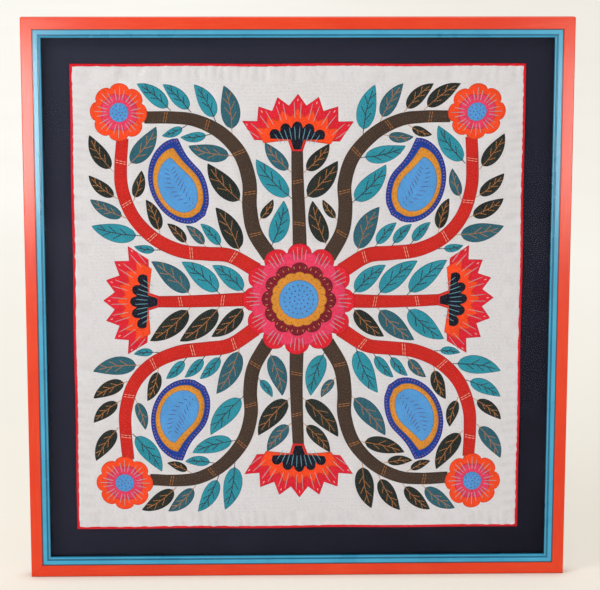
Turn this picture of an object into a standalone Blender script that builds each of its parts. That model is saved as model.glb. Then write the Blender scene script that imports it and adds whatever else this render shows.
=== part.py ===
"""A framed applique panel: a quilted cotton ground with sewn-on shapes, on a cloth-covered
board, behind a thin pane, in an orange-red moulding with a narrow turquoise slip inside it.

Metres, +Z up. The front faces -Y and the flat back lies in the plane y = 0, so the part
hangs with its back on a wall at the origin. "Depth" below is the height of a surface
above that back plane, towards the viewer.
"""
import math

import bmesh
import bpy
import numpy as np
from mathutils import Matrix

# Driving sizes of the frame
FRAME_WIDTH = 1.000
FRAME_HEIGHT = 1.0436
RAIL_WIDTH = 0.0208
RAIL_DEPTH = 0.028
RAIL_ARRIS = 0.0014
SLIP_WIDTH = 0.0156
SLIP_DEPTH = 0.0262
SLIP_LEG = 0.0058
SLIP_BAND = 0.0088
SLIP_GROOVE = 0.0022
SLIP_GROOVE_FLOOR = 0.0030
GROOVE_SLOPE = 0.25
ARRIS_STEPS = 3
BEAD_STEPS = 6
GAP = 0.0003

# Board, ground and pane, as depths above the back plane
BOARD_DEPTH = 0.0060
GROUND_THICK = 0.0030
GROUND_FRONT = BOARD_DEPTH + GAP + GROUND_THICK
PANE_BACK = 0.0166
PANE_THICK = 0.0020
PANE_ALPHA = 0.12

# The textile
PANEL_WIDTH = 0.828
PANEL_HEIGHT = 0.873
PANEL_RISE = 0.001
BINDING_WIDTH = 0.0050
BINDING_HEIGHT = 0.0036
BINDING_SWAY = 0.0007
BINDING_WAVE = 9.5
BINDING_WAIST = 0.45
BINDING_PARTS = 14
SHOULDER_STEPS = 4
GROUND_CELLS = (34, 36)
GROUND_EASE = 0.0011
SHARP_ANGLE = math.radians(40)
QUILT_RELIEF = 0.0008
PUCKER_RELIEF = 0.0011
PUCKER_PITCH = 0.062
PUCKER_REACH = 0.025
PUCKER_LEAN = 1.15
PUCKER_DRIFT = (1.7, 7)
SWELL_PACE = (31, 29)
SWELL_DRIFT = 3
SWELL_BEND = (9, 8)

# The sewn shapes lie in layers, each a sheet above the one below
SHEET_THICK = 0.0010
LAYER_STEP = SHEET_THICK + GAP
LINE_STEPS = 4

# Shapes of leaves and drops: how fast the width rises from the base and falls to the tip
LEAF_THICK = 0.0008
LEAF_SHAPE = (0.62, 0.95)
LEAF_SLENDER = 0.41
LEAF_CURL = math.radians(22)
LEAF_STEPS = 5
CURL_GROWTH = 1.5
STALK_WIDTH = 0.0026
STALK_REACH = 0.005
STALK_SLANT = 0.6
STALK_HOLD = 0.0045
STALK_TUCK = 0.001
DROP_SHAPE = (0.55, 0.80)
DROP_STEPS = 14

# The round flower in the middle: radius, lobes and depth of the scallops of each layer
ROSE_PETALS = (0.104, 12, 0.16)
ROSE_RING = (0.068, 12, 0.14)
ROSE_COLLAR = (0.051, 16, 0.07)
ROSE_EYE = (0.038, 24, 0.0)
LOBE_STEPS = 4
LOBE_ROUNDNESS = 0.6

# The carnations, in shares of their size: a fan of teeth about a hub, and a lobed cup on it
CARNATION_SIZE = 0.116
CARNATION_AT = {"n": (0.0, 0.274), "e": (0.256, 0.0)}
CARNATION_HUB = -0.25
FAN_TEETH = 7
FAN_SPREAD = math.radians(58)
FAN_SIDE, FAN_VALLEY, FAN_TIP = 0.80, 0.98, 1.16
FAN_FOOT, FAN_SHOULDER = (0.0, 0.09), (0.16, 0.15)
CUP_LOBES = 5
CUP_SPREAD = math.radians(44)
CUP_REACH, CUP_SCALLOP = 0.62, 0.10
CUP_FOOT, CUP_SHOULDER = (0.03, 0.06), (0.18, 0.11)

# The rosette in each corner and the curled drop inside each loop of stems
CORNER_AT = (0.326, 0.348)
ROSETTE_PETALS = (0.052, 8, 0.14)
ROSETTE_EYE = (0.0177, 14, 0.0)
PAISLEY_AT = (0.170, 0.160)
PAISLEY_HEADING = math.radians(38)
PAISLEY_CURL = math.radians(86)
PAISLEY_SIZE = (0.168, 0.104)
HEART_INSET = 0.022
HEART_TURN = 0.06
HEART_SHARE = (0.60, 0.56, 0.72)
HEART_STEPS = 10

# The slow unevenness of shapes cut and placed by hand: two waves each way, in metres and
# radians per metre
HAND_SHIFT, HAND_WOBBLE = 0.0022, 0.0012
HAND_PACE = (15.3, 16.1)
HAND_CROSS = ((27, 11), (24, -13))
HAND_START = (0.7, 1.9)

# One quarter of the stems: root width, tip width, and the route in millimetres
STEMS = {
    "red_stem": (0.028, 0.022, [(77, 54), (126, 84), (170, 90), (218, 96), (266, 118),
                                (302, 156), (320, 206), (322, 252), (319, 302)]),
    "brown_stem": (0.028, 0.022, [(53, 79), (80, 126), (88, 172), (88, 220), (104, 270),
                                  (140, 312), (184, 336), (228, 342), (280, 341)]),
    "upright_stem": (0.026, 0.022, [(0, 90), (0, 185), (0, 284)]),
    "level_stem": (0.026, 0.022, [(90, 0), (180, 0), (266, 0)]),
}
# The leaves of each stem: side (1 is the left of the way it grows), distance from the root
# and length of the leaf in millimetres, and lean from the stem in degrees
LEAVES = {
    "red_stem": [(-1, 190, 38, 30), (-1, 226, 84, 42), (-1, 262, 66, 42), (-1, 298, 60, 42),
                 (-1, 346, 72, 42), (1, 46, 90, 42), (1, 76, 54, 50), (1, 106, 48, 50),
                 (1, 142, 48, 42), (1, 202, 60, 42), (1, 286, 54, 42), (1, 358, 84, 42)],
    "brown_stem": [(-1, 112, 90, 50), (-1, 208, 78, 50), (-1, 274, 48, 42), (-1, 328, 42, 36),
                   (1, 16, 84, 56), (1, 76, 42, 50), (1, 244, 84, 42), (1, 280, 72, 36),
                   (1, 322, 66, 42), (1, 358, 72, 42)],
    "upright_stem": [(-1, 100, 90, 50), (-1, 148, 66, 50), (1, 100, 90, 50), (1, 148, 66, 50)],
    "level_stem": [(1, 10, 78, 50), (1, 58, 90, 50), (1, 112, 90, 50),
                   (-1, 10, 78, 50), (-1, 58, 90, 50), (-1, 112, 90, 50)],
}
QUARTERS = {"ne": (1, 1), "nw": (-1, 1), "se": (1, -1), "sw": (-1, -1)}

COLOURS = {                      # sRGB of the cloth, paint and pane, roughness
    "rail_lacquer": ((232, 74, 46), 0.34),
    "slip_lacquer": ((66, 158, 192), 0.30),
    "board_cloth": ((38, 40, 56), 0.90),
    "ground_cotton": ((222, 220, 223), 0.92),
    "binding_cotton": ((222, 32, 46), 0.80),
    "red_cotton": ((206, 48, 40), 0.86),
    "brown_cotton": ((74, 58, 48), 0.90),
    "crimson_cotton": ((226, 36, 62), 0.84),
    "orange_cotton": ((248, 92, 40), 0.84),
    "royal_cotton": ((38, 68, 165), 0.86),
    "sky_cotton": ((92, 152, 228), 0.86),
    "navy_cotton": ((22, 24, 45), 0.90),
    "maroon_cotton": ((126, 32, 52), 0.88),
    "mustard_cotton": ((214, 156, 56), 0.88),
    "clear_pane": ((250, 252, 252), 0.03),
}


def start_scene():
    """Clear the scene and make the two collections."""
    for thing in list(bpy.data.objects):
        bpy.data.objects.remove(thing, do_unlink=True)
    parts = bpy.data.collections.new("framed_applique_panel")
    cutters = bpy.data.collections.new("cutters")
    bpy.context.scene.collection.children.link(parts)
    bpy.context.scene.collection.children.link(cutters)
    return parts, cutters


def finish_of(name, node):
    """A plain material for one node."""
    srgb, roughness = COLOURS[name]
    material = bpy.data.materials.new(f"{name}_{node}")
    material.use_nodes = True
    shader = material.node_tree.nodes["Principled BSDF"]
    linear = [((c / 255 + 0.055) / 1.055) ** 2.4 if c > 10 else c / 255 / 12.92 for c in srgb]
    shader.inputs["Base Color"].default_value = (*linear, 1)
    shader.inputs["Roughness"].default_value = roughness
    shader.inputs["Metallic"].default_value = 0.0
    shader.inputs["Alpha"].default_value = PANE_ALPHA if name == "clear_pane" else 1.0
    return material


def outline_mesh(name, outlines, thickness):
    """One or more closed outlines, filled and given a thickness centred on their plane."""
    curve = bpy.data.curves.new(name, "CURVE")
    curve.dimensions = "2D"
    curve.fill_mode = "BOTH"
    curve.extrude = thickness / 2
    for outline in outlines:
        spline = curve.splines.new("POLY")
        spline.points.add(len(outline) - 1)
        for point, (x, y) in zip(spline.points, outline):
            point.co = (x, y, 0, 1)
        spline.use_cyclic_u = True
    holder = bpy.data.objects.new(name, curve)
    bpy.context.scene.collection.objects.link(holder)
    depsgraph = bpy.context.evaluated_depsgraph_get()
    mesh = bpy.data.meshes.new_from_object(holder.evaluated_get(depsgraph))
    bpy.data.objects.remove(holder, do_unlink=True)
    bpy.data.curves.remove(curve)
    work = bmesh.new()
    work.from_mesh(mesh)
    bmesh.ops.remove_doubles(work, verts=work.verts, dist=0.00001)
    bmesh.ops.recalc_face_normals(work, faces=work.faces)
    work.to_mesh(mesh)
    work.free()
    mesh.name = name
    return mesh


def add_part(collection, name, mesh, finish):
    """Put a mesh in a collection as a named object with its own material."""
    thing = bpy.data.objects.new(name, mesh)
    collection.objects.link(thing)
    mesh.materials.clear()
    mesh.materials.append(finish_of(finish, name))
    return thing


# The curve's plane stood upright: its x is the part's x, its y is up, its front is -Y
UPRIGHT = Matrix.Rotation(math.radians(90), 4, "X")


def sheet(collection, name, outlines, layer, finish, thickness=SHEET_THICK):
    """A flat piece of cloth in one of the layers above the ground."""
    middle = GROUND_FRONT + GAP + SHEET_THICK / 2 + layer * LAYER_STEP
    mesh = outline_mesh(name, outlines, thickness)
    mesh.transform(Matrix.Translation((0, -middle, PANEL_RISE)) @ UPRIGHT)
    return add_part(collection, name, mesh, finish)


# Outlines, as arrays of points

def smooth(points, steps):
    """A smooth line through a few points."""
    knots = [np.array(point, float) for point in points]
    knots = [2 * knots[0] - knots[1], *knots, 2 * knots[-1] - knots[-2]]
    line = []
    for a, b, c, d in zip(knots, knots[1:], knots[2:], knots[3:]):
        for step in range(steps):
            t = step / steps
            line.append(0.5 * (2 * b + (c - a) * t + (2 * a - 5 * b + 4 * c - d) * t ** 2
                               + (3 * b - a - 3 * c + d) * t ** 3))
    line.append(knots[-2])
    return np.array(line)


def directions(line):
    """Unit vectors along a line and to its left."""
    along = np.gradient(line, axis=0)
    along /= np.linalg.norm(along, axis=1)[:, None]
    return along, np.stack([-along[:, 1], along[:, 0]], axis=1)


def ribbon(line, root_width, tip_width):
    """A strip along a line."""
    _, left = directions(line)
    share = np.linspace(0, 1, len(line))[:, None]
    half = (root_width + (tip_width - root_width) * share) / 2
    return np.concatenate([line - left * half, (line + left * half)[::-1]])


def turned(points, angle, at):
    """Points turned about zero and moved."""
    turn = np.array([[math.cos(angle), math.sin(angle)], [-math.sin(angle), math.cos(angle)]])
    return np.asarray(points, float) @ turn + np.asarray(at, float)


def blade(at, heading, length, width, curl, shape, steps, neck=0.0):
    """A leaf or a drop: a bent middle line with a half width that rises and falls.
    A neck is the narrow stalk that joins a leaf to its stem."""
    share = np.linspace(0, 1, steps + 1)
    bearing = curl * share ** CURL_GROWTH
    mean = (bearing[1:] + bearing[:-1]) / 2
    strides = np.stack([np.cos(mean), np.sin(mean)], axis=1) * length / steps
    middle = np.concatenate([[[0, 0]], np.cumsum(strides, axis=0)])
    rise, fall = shape
    widest = rise / (rise + fall)
    half = width / 2 * (share / widest) ** rise * ((1 - share) / (1 - widest)) ** fall
    left = np.stack([-np.sin(bearing), np.cos(bearing)], axis=1)
    lower = middle - left * half[:, None]
    upper = middle + left * half[:, None]
    outline = np.concatenate([lower, upper[-2:0:-1]])
    if neck:
        stalk = STALK_WIDTH / 2
        root = [(STALK_TUCK, stalk), (-neck, stalk), (-neck, -stalk), (STALK_TUCK, -stalk)]
        outline = np.concatenate([root, outline[1:]])
    return turned(outline, heading, at)


def scalloped(at, radius, lobes, depth, steps=LOBE_STEPS):
    """A round outline with lobes, the first of them pointing right."""
    turn = np.arange(lobes * steps) / steps
    reach = radius * (1 - depth + depth * np.abs(np.sin(math.pi * turn)) ** LOBE_ROUNDNESS)
    angle = 2 * math.pi * (turn - 0.5) / lobes
    return np.stack([reach * np.cos(angle), reach * np.sin(angle)], axis=1) + np.array(at, float)


def about_hub(reach, angle):
    """A point of a carnation, from its reach and angle about the hub."""
    return CARNATION_HUB + reach * math.cos(angle), reach * math.sin(angle)


def below_and_above(points):
    """Points on the far side of the middle line, mirrored from those on the near side."""
    return [(x, -z) for x, z in points]


def carnation_fan(at, heading):
    """A fan with a zigzag edge, on a narrow foot."""
    edge = []
    for tooth in range(FAN_TEETH + 1):
        angle = -FAN_SPREAD + 2 * FAN_SPREAD * tooth / FAN_TEETH
        edge.append(about_hub(FAN_SIDE if tooth in (0, FAN_TEETH) else FAN_VALLEY, angle))
        if tooth < FAN_TEETH:
            edge.append(about_hub(FAN_TIP, angle + FAN_SPREAD / FAN_TEETH))
    points = [*below_and_above([FAN_FOOT, FAN_SHOULDER]), *edge, FAN_SHOULDER, FAN_FOOT]
    return turned(np.array(points) * CARNATION_SIZE, heading, at)


def carnation_cup(at, heading):
    """The lower part of the fan, with a scalloped upper edge."""
    edge = []
    for step in range(CUP_LOBES * LOBE_STEPS + 1):
        angle = -CUP_SPREAD + 2 * CUP_SPREAD * step / (CUP_LOBES * LOBE_STEPS)
        scallop = abs(math.sin(math.pi * step / LOBE_STEPS)) ** LOBE_ROUNDNESS
        edge.append(about_hub(CUP_REACH + CUP_SCALLOP * scallop, angle))
    points = [*below_and_above([CUP_FOOT, CUP_SHOULDER]), *edge, CUP_SHOULDER, CUP_FOOT]
    return turned(np.array(points) * CARNATION_SIZE, heading, at)


def hand_cut(points):
    """The slow unevenness of handwork, the same all over the panel."""
    x, z = np.asarray(points, float).T
    across_x, across_z = (a * x + b * z for a, b in HAND_CROSS)
    shift_x = HAND_SHIFT * np.sin(HAND_PACE[0] * z + HAND_START[0]) + HAND_WOBBLE * np.sin(across_x)
    shift_z = HAND_SHIFT * np.sin(HAND_PACE[1] * x + HAND_START[1]) + HAND_WOBBLE * np.sin(across_z)
    return np.stack([x + shift_x, z + shift_z], axis=1)


def mirrored(outline, signs):
    """An outline of the first quarter, in one of the four quarters."""
    points = np.asarray(outline) * np.array(signs, float)
    return hand_cut(points[::-1] if signs[0] * signs[1] < 0 else points)


def leaves_of(stem):
    """The outlines of all leaves on one stem of the first quarter."""
    root_width, tip_width, route = STEMS[stem]
    line = smooth(np.array(route) / 1000, LINE_STEPS * 2)
    along, left = directions(line)
    run = np.concatenate([[0], np.cumsum(np.linalg.norm(np.diff(line, axis=0), axis=1))])
    half_stem = (root_width + tip_width) / 4
    outlines = []
    for side, distance, length, lean in LEAVES[stem]:
        spot = [np.interp(distance / 1000, run, line[:, axis]) for axis in (0, 1)]
        near = int(np.argmin(np.abs(run - distance / 1000)))
        outward = left[near] * side * (half_stem + STALK_REACH)
        at = np.array(spot) + outward + along[near] * STALK_REACH * STALK_SLANT
        heading = math.atan2(along[near][1], along[near][0]) + side * math.radians(lean)
        size = (length / 1000, LEAF_SLENDER * length / 1000)
        neck = (STALK_REACH + STALK_HOLD) / math.sin(math.radians(lean))
        outlines.append(blade(at, heading, *size, -side * LEAF_CURL, LEAF_SHAPE, LEAF_STEPS, neck))
    return outlines


# The frame

def rail_profile():
    """Across the orange-red rail: distance in from its outer edge, and depth."""
    points = [(0, 0)]
    for step in range(ARRIS_STEPS + 1):
        turn = math.radians(90) * step / ARRIS_STEPS
        inwards = RAIL_ARRIS * (1 - math.cos(turn))
        points.append((inwards, RAIL_DEPTH - RAIL_ARRIS * (1 - math.sin(turn))))
    eased = RAIL_ARRIS / 2
    points += [(RAIL_WIDTH - eased, RAIL_DEPTH), (RAIL_WIDTH, RAIL_DEPTH - eased), (RAIL_WIDTH, 0)]
    return points


def slip_profile():
    """Across the turquoise slip: a leg down to the wall, a flat band, a groove and a bead."""
    outer = RAIL_WIDTH + GAP
    inner = RAIL_WIDTH + SLIP_WIDTH
    lip = PANE_BACK + PANE_THICK + GAP
    band_end = outer + SLIP_BAND
    bead_start = band_end + SLIP_GROOVE
    bead_radius = (inner - bead_start) / 2
    floor = SLIP_DEPTH - SLIP_GROOVE_FLOOR
    points = [(outer, 0), (outer, SLIP_DEPTH), (band_end, SLIP_DEPTH),
              (band_end + SLIP_GROOVE * GROOVE_SLOPE, floor), (bead_start, floor)]
    for step in range(BEAD_STEPS + 1):
        turn = math.pi - math.pi * step / BEAD_STEPS
        inwards = bead_start + bead_radius * (1 + math.cos(turn))
        points.append((inwards, floor + bead_radius * math.sin(turn)))
    points += [(inner, lip), (outer + SLIP_LEG, lip), (outer + SLIP_LEG, 0)]
    return [point for here, point in enumerate(points) if here == 0 or point != points[here - 1]]


def mitred_rail(collection, name, profile, half_length, half_across, turn, finish,
                parts=1, sway=0.0):
    """A straight moulding with mitred ends, below the centre, then turned about Y.
    The length is cut into parts where the strip sways from side to side."""
    mesh = outline_mesh(name, [profile], 2 * half_length)
    stand = Matrix(((0, 0, 1, 0), (0, -1, 0, 0), (1, 0, 0, 0), (0, 0, 0, 1)))
    work = bmesh.new()
    work.from_mesh(mesh)
    work.transform(stand)
    for cut in range(1, parts):
        place = -half_length + 2 * half_length * cut / parts
        bmesh.ops.bisect_plane(work, geom=[*work.verts, *work.edges, *work.faces],
                               plane_co=(place, 0, 0), plane_no=(1, 0, 0))
    for corner in work.verts:
        share = corner.co.x / half_length
        from_edge = corner.co.z
        corner.co.x = share * (half_length - from_edge - GAP / 2)
        aside = sway * math.sin(BINDING_WAVE * share + 2 * turn) * (1 - share ** 2)
        corner.co.z = from_edge - half_across + aside
    work.transform(Matrix.Rotation(turn, 4, "Y"))
    work.to_mesh(mesh)
    work.free()
    return add_part(collection, name, mesh, finish)


def four_sides(collection, name, profile, width, height, finish, rise=0.0, parts=1, sway=0.0):
    """Four mitred strips round a rectangle."""
    for side, quarter_turns in (("bottom", 0), ("left", 1), ("top", 2), ("right", 3)):
        length, across = (width, height) if quarter_turns % 2 == 0 else (height, width)
        strip = mitred_rail(collection, f"{name}_{side}", profile, length / 2, across / 2,
                            quarter_turns * math.pi / 2, finish, parts, sway)
        strip.data.transform(Matrix.Translation((0, 0, rise)))


def slab(collection, name, width, height, back, thickness, finish, rise=0.0):
    """A flat board or pane."""
    work = bmesh.new()
    bmesh.ops.create_cube(work, size=1.0)
    bmesh.ops.scale(work, vec=(width, thickness, height), verts=work.verts)
    bmesh.ops.translate(work, vec=(0, -(back + thickness / 2), rise), verts=work.verts)
    mesh = bpy.data.meshes.new(name)
    work.to_mesh(mesh)
    work.free()
    return add_part(collection, name, mesh, finish)


# The textile

def binding_profile():
    """Across the binding: a folded strip with a rounded top."""
    half = BINDING_WIDTH / 2
    low = BOARD_DEPTH + GAP
    waist = low + BINDING_HEIGHT * BINDING_WAIST
    rise = BINDING_HEIGHT * (1 - BINDING_WAIST)
    points = [(0, low)]
    for step in range(SHOULDER_STEPS + 1):
        turn = math.pi - math.pi * step / SHOULDER_STEPS
        points.append((half * (1 + math.cos(turn)), waist + rise * math.sin(turn)))
    points.append((BINDING_WIDTH, low))
    return points


def ground_relief(x, z, half_width, half_height):
    """Height of the quilted cotton over its level: low swells in the field, puckers at the edge."""
    swell_x = math.sin(SWELL_PACE[0] * x + SWELL_DRIFT * math.sin(SWELL_BEND[0] * z))
    swell_z = math.sin(SWELL_PACE[1] * z + SWELL_DRIFT * math.sin(SWELL_BEND[1] * x))
    swell = swell_x * swell_z
    height = QUILT_RELIEF * (swell - 1) / 2
    drift, drift_pace = PUCKER_DRIFT
    to_side = half_width - abs(x)
    to_end = half_height - abs(z)
    for distance, run in ((to_end, x), (to_side, z)):
        nearness = max(0.0, 1 - distance / PUCKER_REACH)
        fold = math.sin(2 * math.pi * run / PUCKER_PITCH + drift * math.sin(drift_pace * run))
        height += PUCKER_RELIEF * fold * math.sin(math.pi * min(1.0, nearness * PUCKER_LEAN))
    return height


def quilted_ground(collection):
    """The white cotton ground: a thin padded sheet with a flat back, eased in from the
    binding so that the binding can sway."""
    half_width = PANEL_WIDTH / 2 - BINDING_WIDTH - GAP
    half_height = PANEL_HEIGHT / 2 - BINDING_WIDTH - GAP
    work = bmesh.new()
    bmesh.ops.create_grid(work, x_segments=GROUND_CELLS[0], y_segments=GROUND_CELLS[1], size=1.0)
    for corner in work.verts:
        x, z = corner.co.x * half_width, corner.co.y * half_height
        lift = ground_relief(x, z, half_width, half_height)
        inner_x, inner_z = x * (1 - GROUND_EASE / half_width), z * (1 - GROUND_EASE / half_height)
        corner.co = (inner_x, -(GROUND_FRONT + lift), inner_z)
    front = list(work.faces)
    made = bmesh.ops.extrude_face_region(work, geom=front)["geom"]
    back = [item for item in made if isinstance(item, bmesh.types.BMFace)]
    for corner in {corner for face in back for corner in face.verts}:
        corner.co.y = -(BOARD_DEPTH + GAP)
    bmesh.ops.dissolve_faces(work, faces=back, use_verts=False)
    bmesh.ops.recalc_face_normals(work, faces=work.faces)
    bmesh.ops.translate(work, vec=(0, 0, PANEL_RISE), verts=work.verts)
    mesh = bpy.data.meshes.new("quilted_ground")
    work.to_mesh(mesh)
    work.free()
    ground = add_part(collection, "quilted_ground", mesh, "ground_cotton")
    ground.data.shade_smooth()
    ground.data.set_sharp_from_angle(angle=SHARP_ANGLE)
    return ground


def leafy_stem(parts, cutters, name, stem, signs, finish):
    """A stem with its leaves, joined by their stalks into one body."""
    root_width, tip_width, route = STEMS[stem]
    line = smooth(np.array(route) / 1000, LINE_STEPS)
    strip = sheet(parts, name, [mirrored(ribbon(line, root_width, tip_width), signs)], 0, finish)
    leaves = [mirrored(outline, signs) for outline in leaves_of(stem)]
    growth = sheet(cutters, f"{name}_leaves", leaves, 0, finish, LEAF_THICK)
    growth.hide_render = True
    growth.display_type = "WIRE"
    join = strip.modifiers.new("leaves", "BOOLEAN")
    join.operation = "UNION"
    join.object = growth


def centre_rose(parts):
    """Four stacked rounds in the middle."""
    middle = (0.0, 0.0)
    rounds = (("rose_petals", ROSE_PETALS, "crimson_cotton"), ("rose_ring", ROSE_RING, "maroon_cotton"),
              ("rose_collar", ROSE_COLLAR, "mustard_cotton"))
    for layer, (name, shape, finish) in enumerate(rounds, start=1):
        sheet(parts, name, [hand_cut(scalloped(middle, *shape))], layer, finish)
    sheet(parts, "rose_eye", [hand_cut(scalloped(middle, *ROSE_EYE, steps=1))], 4, "sky_cotton")


def carnations(parts):
    """A fan and its cup at the end of each straight stem."""
    for place, heading in (("n", 90), ("s", -90), ("e", 0), ("w", 180)):
        x, z = CARNATION_AT["n" if place in "ns" else "e"]
        at = (-x, -z) if place in "sw" else (x, z)
        turn = math.radians(heading)
        sheet(parts, f"carnation_fan_{place}", [hand_cut(carnation_fan(at, turn))], 1, "crimson_cotton")
        sheet(parts, f"carnation_cup_{place}", [hand_cut(carnation_cup(at, turn))], 2, "navy_cotton")


def paisleys_and_corners(parts):
    """A paisley inside each loop of stems and a rosette in each corner, in two layers each."""
    length, width = PAISLEY_SIZE
    ahead = np.array([math.cos(PAISLEY_HEADING), math.sin(PAISLEY_HEADING)])
    drop = blade(PAISLEY_AT, PAISLEY_HEADING, length, width, PAISLEY_CURL, DROP_SHAPE, DROP_STEPS)
    shorter, narrower, straighter = HEART_SHARE
    heart = blade(PAISLEY_AT + HEART_INSET * ahead, PAISLEY_HEADING + HEART_TURN, length * shorter,
                  width * narrower, PAISLEY_CURL * straighter, DROP_SHAPE, HEART_STEPS)
    petals = scalloped(CORNER_AT, *ROSETTE_PETALS)
    eye = scalloped(CORNER_AT, *ROSETTE_EYE, steps=1)
    for quarter, signs in QUARTERS.items():
        sheet(parts, f"paisley_{quarter}", [mirrored(drop, signs)], 0, "royal_cotton")
        sheet(parts, f"paisley_heart_{quarter}", [mirrored(heart, signs)], 1, "sky_cotton")
        sheet(parts, f"rosette_petals_{quarter}", [mirrored(petals, signs)], 1, "orange_cotton")
        sheet(parts, f"rosette_eye_{quarter}", [mirrored(eye, signs)], 2, "sky_cotton")


def build():
    parts, cutters = start_scene()
    four_sides(parts, "outer_rail", rail_profile(), FRAME_WIDTH, FRAME_HEIGHT, "rail_lacquer")
    four_sides(parts, "slip_rail", slip_profile(), FRAME_WIDTH, FRAME_HEIGHT, "slip_lacquer")
    rebate = 2 * (RAIL_WIDTH + GAP + SLIP_LEG + GAP)
    inside = (FRAME_WIDTH - rebate, FRAME_HEIGHT - rebate)
    slab(parts, "mount_board", *inside, 0.0, BOARD_DEPTH, "board_cloth")
    slab(parts, "glazing_pane", *inside, PANE_BACK, PANE_THICK, "clear_pane")
    quilted_ground(parts)
    four_sides(parts, "binding", binding_profile(), PANEL_WIDTH, PANEL_HEIGHT, "binding_cotton",
               PANEL_RISE, BINDING_PARTS, BINDING_SWAY)
    for quarter, signs in QUARTERS.items():
        leafy_stem(parts, cutters, f"red_stem_{quarter}", "red_stem", signs, "red_cotton")
        leafy_stem(parts, cutters, f"brown_stem_{quarter}", "brown_stem", signs, "brown_cotton")
    for place, signs in (("n", (1, 1)), ("s", (1, -1))):
        leafy_stem(parts, cutters, f"upright_stem_{place}", "upright_stem", signs, "brown_cotton")
    for place, signs in (("e", (1, 1)), ("w", (-1, 1))):
        leafy_stem(parts, cutters, f"level_stem_{place}", "level_stem", signs, "red_cotton")
    centre_rose(parts)
    carnations(parts)
    paisleys_and_corners(parts)


build()
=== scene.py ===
# %% [markdown]
# # A framed applique panel
#
# The object is a square-ish cotton hanging, sewn by hand and put behind glass in a two-tone
# wooden frame. The frame is already modelled as a set of solids. This lesson loads them, gives
# the woodwork, the board and the glass their finishes, and then makes the soft part anew: the
# quilted ground, the binding, the sewn shapes with their turned edges, and the threads.
#
# Lengths are in metres, +Z is up and the front faces -Y. "Depth" is the height of a surface
# above the flat back, towards the viewer, so a point at depth d has y = -d.

# %% Load the solids
import math

import bpy
import numpy as np
from mathutils import Matrix, Vector
from mathutils.bvhtree import BVHTree
from mathutils.geometry import delaunay_2d_cdt


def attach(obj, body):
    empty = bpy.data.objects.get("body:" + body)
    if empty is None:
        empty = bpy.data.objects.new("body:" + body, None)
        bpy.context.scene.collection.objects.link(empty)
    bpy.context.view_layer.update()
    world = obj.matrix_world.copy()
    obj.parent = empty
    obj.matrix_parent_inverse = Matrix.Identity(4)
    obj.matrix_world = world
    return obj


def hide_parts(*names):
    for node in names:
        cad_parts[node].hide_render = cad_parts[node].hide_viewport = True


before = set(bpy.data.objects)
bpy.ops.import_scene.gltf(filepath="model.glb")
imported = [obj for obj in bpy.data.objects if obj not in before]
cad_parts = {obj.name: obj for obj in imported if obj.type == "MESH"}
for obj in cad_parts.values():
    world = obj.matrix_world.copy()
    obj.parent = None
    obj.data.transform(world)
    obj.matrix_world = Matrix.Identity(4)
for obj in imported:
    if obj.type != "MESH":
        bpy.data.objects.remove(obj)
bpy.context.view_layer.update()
scene = bpy.context.scene
print("solids loaded:", len(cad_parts))

# %% [markdown]
# ## The camera
#
# The picture was taken from a little above and a little to the left with a long lens, so the
# frame's sides lean very slightly inwards towards the bottom. The lens and the place come from
# the four corners of the frame: a camera has to see a rectangle of 1.000 by 1.044 m exactly
# there. It could also be aimed by eye with a Track To constraint, but three turns written as
# numbers are exact and easy to read.

# %% Set the camera
PICTURE_WIDTH = 600
FOCAL_PIXELS = 2304.27
SENSOR_MM = 36.0
CAMERA_AT = Vector((-0.1109, -4.1853, 0.8120))
PITCH, ROLL, YAW = math.radians(10.856), math.radians(-0.2226), math.radians(1.5409)

to_camera = Matrix.Rotation(YAW, 3, "Z") @ Matrix.Rotation(ROLL, 3, "Y") @ Matrix.Rotation(PITCH, 3, "X")
right, forward, up = (Vector(row) for row in to_camera)
lens = bpy.data.cameras.new("camera")
lens.sensor_fit = "HORIZONTAL"
lens.sensor_width = SENSOR_MM
lens.lens = FOCAL_PIXELS * SENSOR_MM / PICTURE_WIDTH
camera = bpy.data.objects.new("camera", lens)
camera.matrix_world = Matrix((right, up, -forward)).transposed().to_4x4()
camera.location = CAMERA_AT
scene.collection.objects.link(camera)
scene.camera = camera
print(f"lens {lens.lens:.1f} mm, {(-CAMERA_AT.y):.2f} m in front of the panel")

# %% [markdown]
# ## Colours and the wiring of a finish
#
# Cloth and lacquer colours are easiest to think of as the numbers of a paint program, 0 to 255.
# Blender's shaders want linear light, so one helper turns the one into the other. A second helper
# adds a shader node and feeds its sockets, with a number or with another node's output, so that
# each recipe below reads as a short list. The same could be clicked together in the Shader
# Editor.

# %% Helpers for materials


def linear(red, green, blue):
    """Paint-program numbers as linear light."""
    shares = (value / 255 for value in (red, green, blue))
    return (*(s / 12.92 if s < 0.04045 else ((s + 0.055) / 1.055) ** 2.4 for s in shares), 1.0)


def wired(tree, kind, feeds=None, **settings):
    """Add a shader node, set it, and feed its sockets with values or with other outputs."""
    node = tree.nodes.new("ShaderNode" + kind)
    for name, value in settings.items():
        setattr(node, name, value)
    for socket, value in (feeds or {}).items():
        if isinstance(value, bpy.types.NodeSocket):
            tree.links.new(value, node.inputs[socket])
        else:
            node.inputs[socket].default_value = value
    return node


def calc(tree, operation, first, second=0.0, third=0.0):
    """One step of arithmetic on sockets or numbers."""
    return wired(tree, "Math", {0: first, 1: second, 2: third}, operation=operation).outputs[0]


def blended(tree, share, first, second):
    """A colour between two others."""
    mix = wired(tree, "Mix", {0: share, 6: first, 7: second}, data_type="RGBA")
    return mix.outputs[2]


def axes_of(tree, vector):
    """The x, y and z of a vector."""
    return wired(tree, "SeparateXYZ", {0: vector}).outputs


def facing_back(tree, limit):
    """1 on the faces that point backwards, 0 elsewhere."""
    normal = wired(tree, "NewGeometry").outputs["Normal"]
    return calc(tree, "GREATER_THAN", axes_of(tree, normal)[1], limit)


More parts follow.
